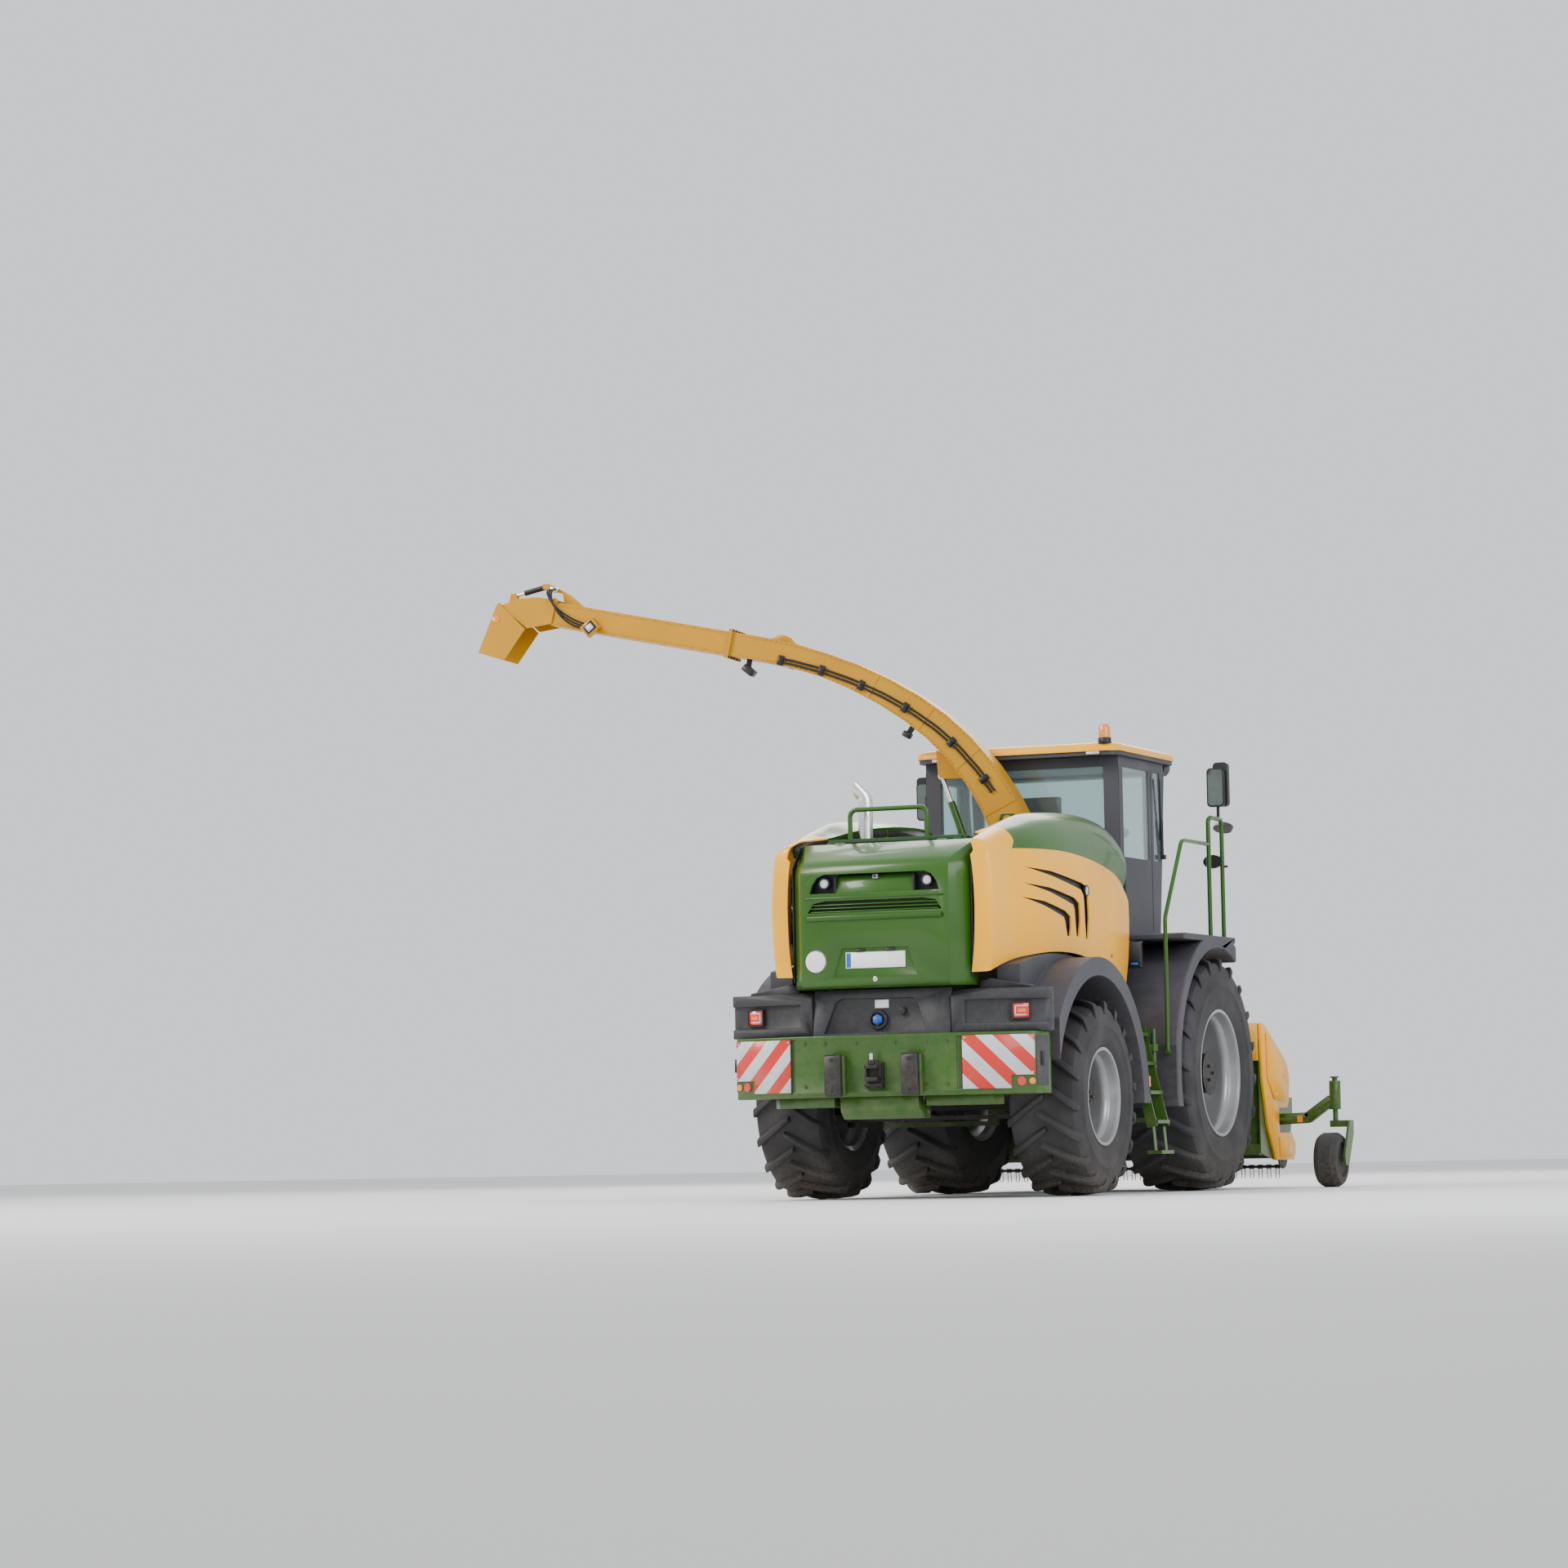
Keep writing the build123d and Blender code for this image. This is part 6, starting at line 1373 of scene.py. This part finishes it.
# auger: tube, two flights wound towards the middle, and paddles
AUGER_Y, AUGER_Z = REAR - 0.310, 0.610
FLIGHT_START, FLIGHT_PITCH, FLIGHT_R, FLIGHT_T = 0.330, 0.420, 0.224, 0.008
tube = Form().turned([(0.110, -HALF), (0.110, HALF), (SHAFT_R, HALF), (SHAFT_R, -HALF)], (0, AUGER_Y, AUGER_Z),
                     "X", 40)
for mark in (1, -1):
    rings = []
    for k in range(81):
        x = FLIGHT_START + (HALF - 0.340) * k / 80
        turn = mark * 2 * pi * (x - FLIGHT_START) / FLIGHT_PITCH
        c, s = cos(turn), sin(turn)
        rings.append([(mark * (x + w), AUGER_Y + r * c, AUGER_Z + r * s)
                      for r, w in ((0.105, -FLIGHT_T / 2), (FLIGHT_R, -FLIGHT_T / 2), (FLIGHT_R, FLIGHT_T / 2),
                                   (0.105, FLIGHT_T / 2))])
    tube.skin(rings)
for k in range(4):
    turn = pi / 2 * k + 0.4
    a = (0, AUGER_Y + 0.165 * cos(turn), AUGER_Z + 0.165 * sin(turn))
    tube.bar((-0.26, a[1], a[2]), (0.26, a[1], a[2]), 0.008, 0.115, (0, cos(turn), sin(turn)))
piece("auger_body", tube, "auger", "body_green", GREEN, replaces=("auger",))

# gauge wheel arms, ribs of the tyres
arms = Form()
for mark in (1, -1):
    arms.bar((mark * 1.445, -4.650, 0.620), (mark * 1.745, -4.650, 0.630), 0.080, 0.100)
    arms.bar((mark * 1.725, -4.650, 0.622), (mark * 1.965, -4.650, 0.790), 0.080, 0.100)
piece("gauge_arm_boxes", arms, "header", "body_green", GREEN, edge=0.006)
labels = Form().block(1.640, 1.690, -4.6095, -4.6080, 0.590, 0.650)
# these marks take the glowing amber lens: a painted glow, as they are no lamps
piece("gauge_arm_marks", labels.mirrored(), "header", "lamp_red", AMBER)
for hand, mark in (("left", 1), ("right", -1)):
    ribs = Form()
    for offset in (-0.072, -0.036, 0.0, 0.036, 0.072):
        drop = 0.012 if abs(offset) > 0.06 else 0.0
        ribs.turned([(0.2446 - drop, offset - 0.012), (0.2450 - drop, offset - 0.008),
                     (0.2450 - drop, offset + 0.008), (0.2446 - drop, offset + 0.012), (0.230, offset + 0.014),
                     (0.230, offset - 0.014)], (mark * 1.990, -4.480, 0.245), "X", 64)
    piece(f"gauge_tyre_ribs_{hand}", ribs, f"gauge_wheel_{hand}", "tyre", RUBBER)

# rounded edges on solids that show as they are
for name, width in (("rear_fenders", 0.020), ("front_fenders", 0.020), ("side_walls", 0.006),
                    ("cab_frame", 0.014), ("header_frame", 0.004), ("main_frame", 0.006), ("feeder", 0.006),
                    ("cab_door", 0.006), ("turret", 0.004), ("top_deck", 0.006)):
    node = frame["nodes"][name]
    weld = node.modifiers.new("weld", "WELD")
    weld.merge_threshold = 0.00005
    bevel = node.modifiers.new("edge", "BEVEL")
    bevel.width, bevel.segments, bevel.limit_method, bevel.angle_limit = width, 2, "ANGLE", radians(40)
    bevel.harden_normals = True


# ---------------------------------------------------------------- finish of the solids that show as they are
SLOTS = {"body_green": GREEN, "frame_green": DARK_GREEN, "machine_yellow": YELLOW, "spout_yellow": SPOUT_YELLOW,
         "grey_plastic": GREY, "black_plastic": BLACK, "black_iron": IRON, "axle_iron": IRON,
         "rim_silver": SILVER,
         "tyre": RUBBER, "chrome": CHROME, "glass": GLASS, "lamp_red": RED, "warning_film": BARS,
         "seat_fabric": CLOTH}
for part in frame["record"]["subparts"]:
    for holder in frame["nodes"][part["node"]].material_slots:
        holder.material = SLOTS[part["material_slot"]]


# ---------------------------------------------------------------- floor, light and camera
def on_stage(made):
    bpy.context.scene.collection.objects.link(made)
    return made


floor = Form().block(-60, 60, -60, 60, -0.1, -0.0005)
on_stage(bpy.data.objects.new("floor", floor.mesh("floor", False)))
bpy.data.objects["floor"].data.materials.append(Finish("pale floor", Base_Color=(0.72, 0.72, 0.71, 1),
                                                       Roughness=0.85).material)

world = bpy.data.worlds.new("soft studio")
world.use_nodes = True
world.node_tree.nodes["Background"].inputs[0].default_value = (0.94, 0.96, 1.0, 1)
world.node_tree.nodes["Background"].inputs[1].default_value = 1.1
bpy.context.scene.world = world
# name, place, aim, width, watts, colour
LIGHTS = [
    ("key_light", (13.0, 14.0, 17.0), (0, 0, 1.5), 9.0, 5200, (1.0, 0.965, 0.91)),
    ("fill_light", (-17.0, 10.0, 10.0), (0, 0, 1.5), 12.0, 2300, (0.90, 0.95, 1.0)),
    ("front_light", (4.0, -16.0, 14.0), (0, 0, 1.5), 12.0, 2600, (1.0, 0.98, 0.95)),
]
for name, at, aim, wide, watts, colour in LIGHTS:
    lamp = bpy.data.lights.new(name, "AREA")
    lamp.size, lamp.energy, lamp.color = wide, watts, colour
    made = on_stage(bpy.data.objects.new(name, lamp))
    made.location = at
    made.rotation_euler = (Vector(aim) - Vector(at)).to_track_quat("-Z", "Y").to_euler()

view = bpy.data.cameras.new("camera")
view.lens, view.sensor_width, view.clip_end = 110.217, 36.0, 200.0
camera = on_stage(bpy.data.objects.new("camera", view))
right, up = Vector((-0.91899118, -0.39384537, -0.01846735)), Vector((-0.04726176, 0.06353708, 0.99685975))
camera.matrix_world = Matrix.Translation((-14.59862 + AXLE_X, 37.50635 + AXLE_Y, 0.3804)) @ Matrix(
    (right, up, right.cross(up))).transposed().to_4x4()
bpy.context.scene.camera = camera
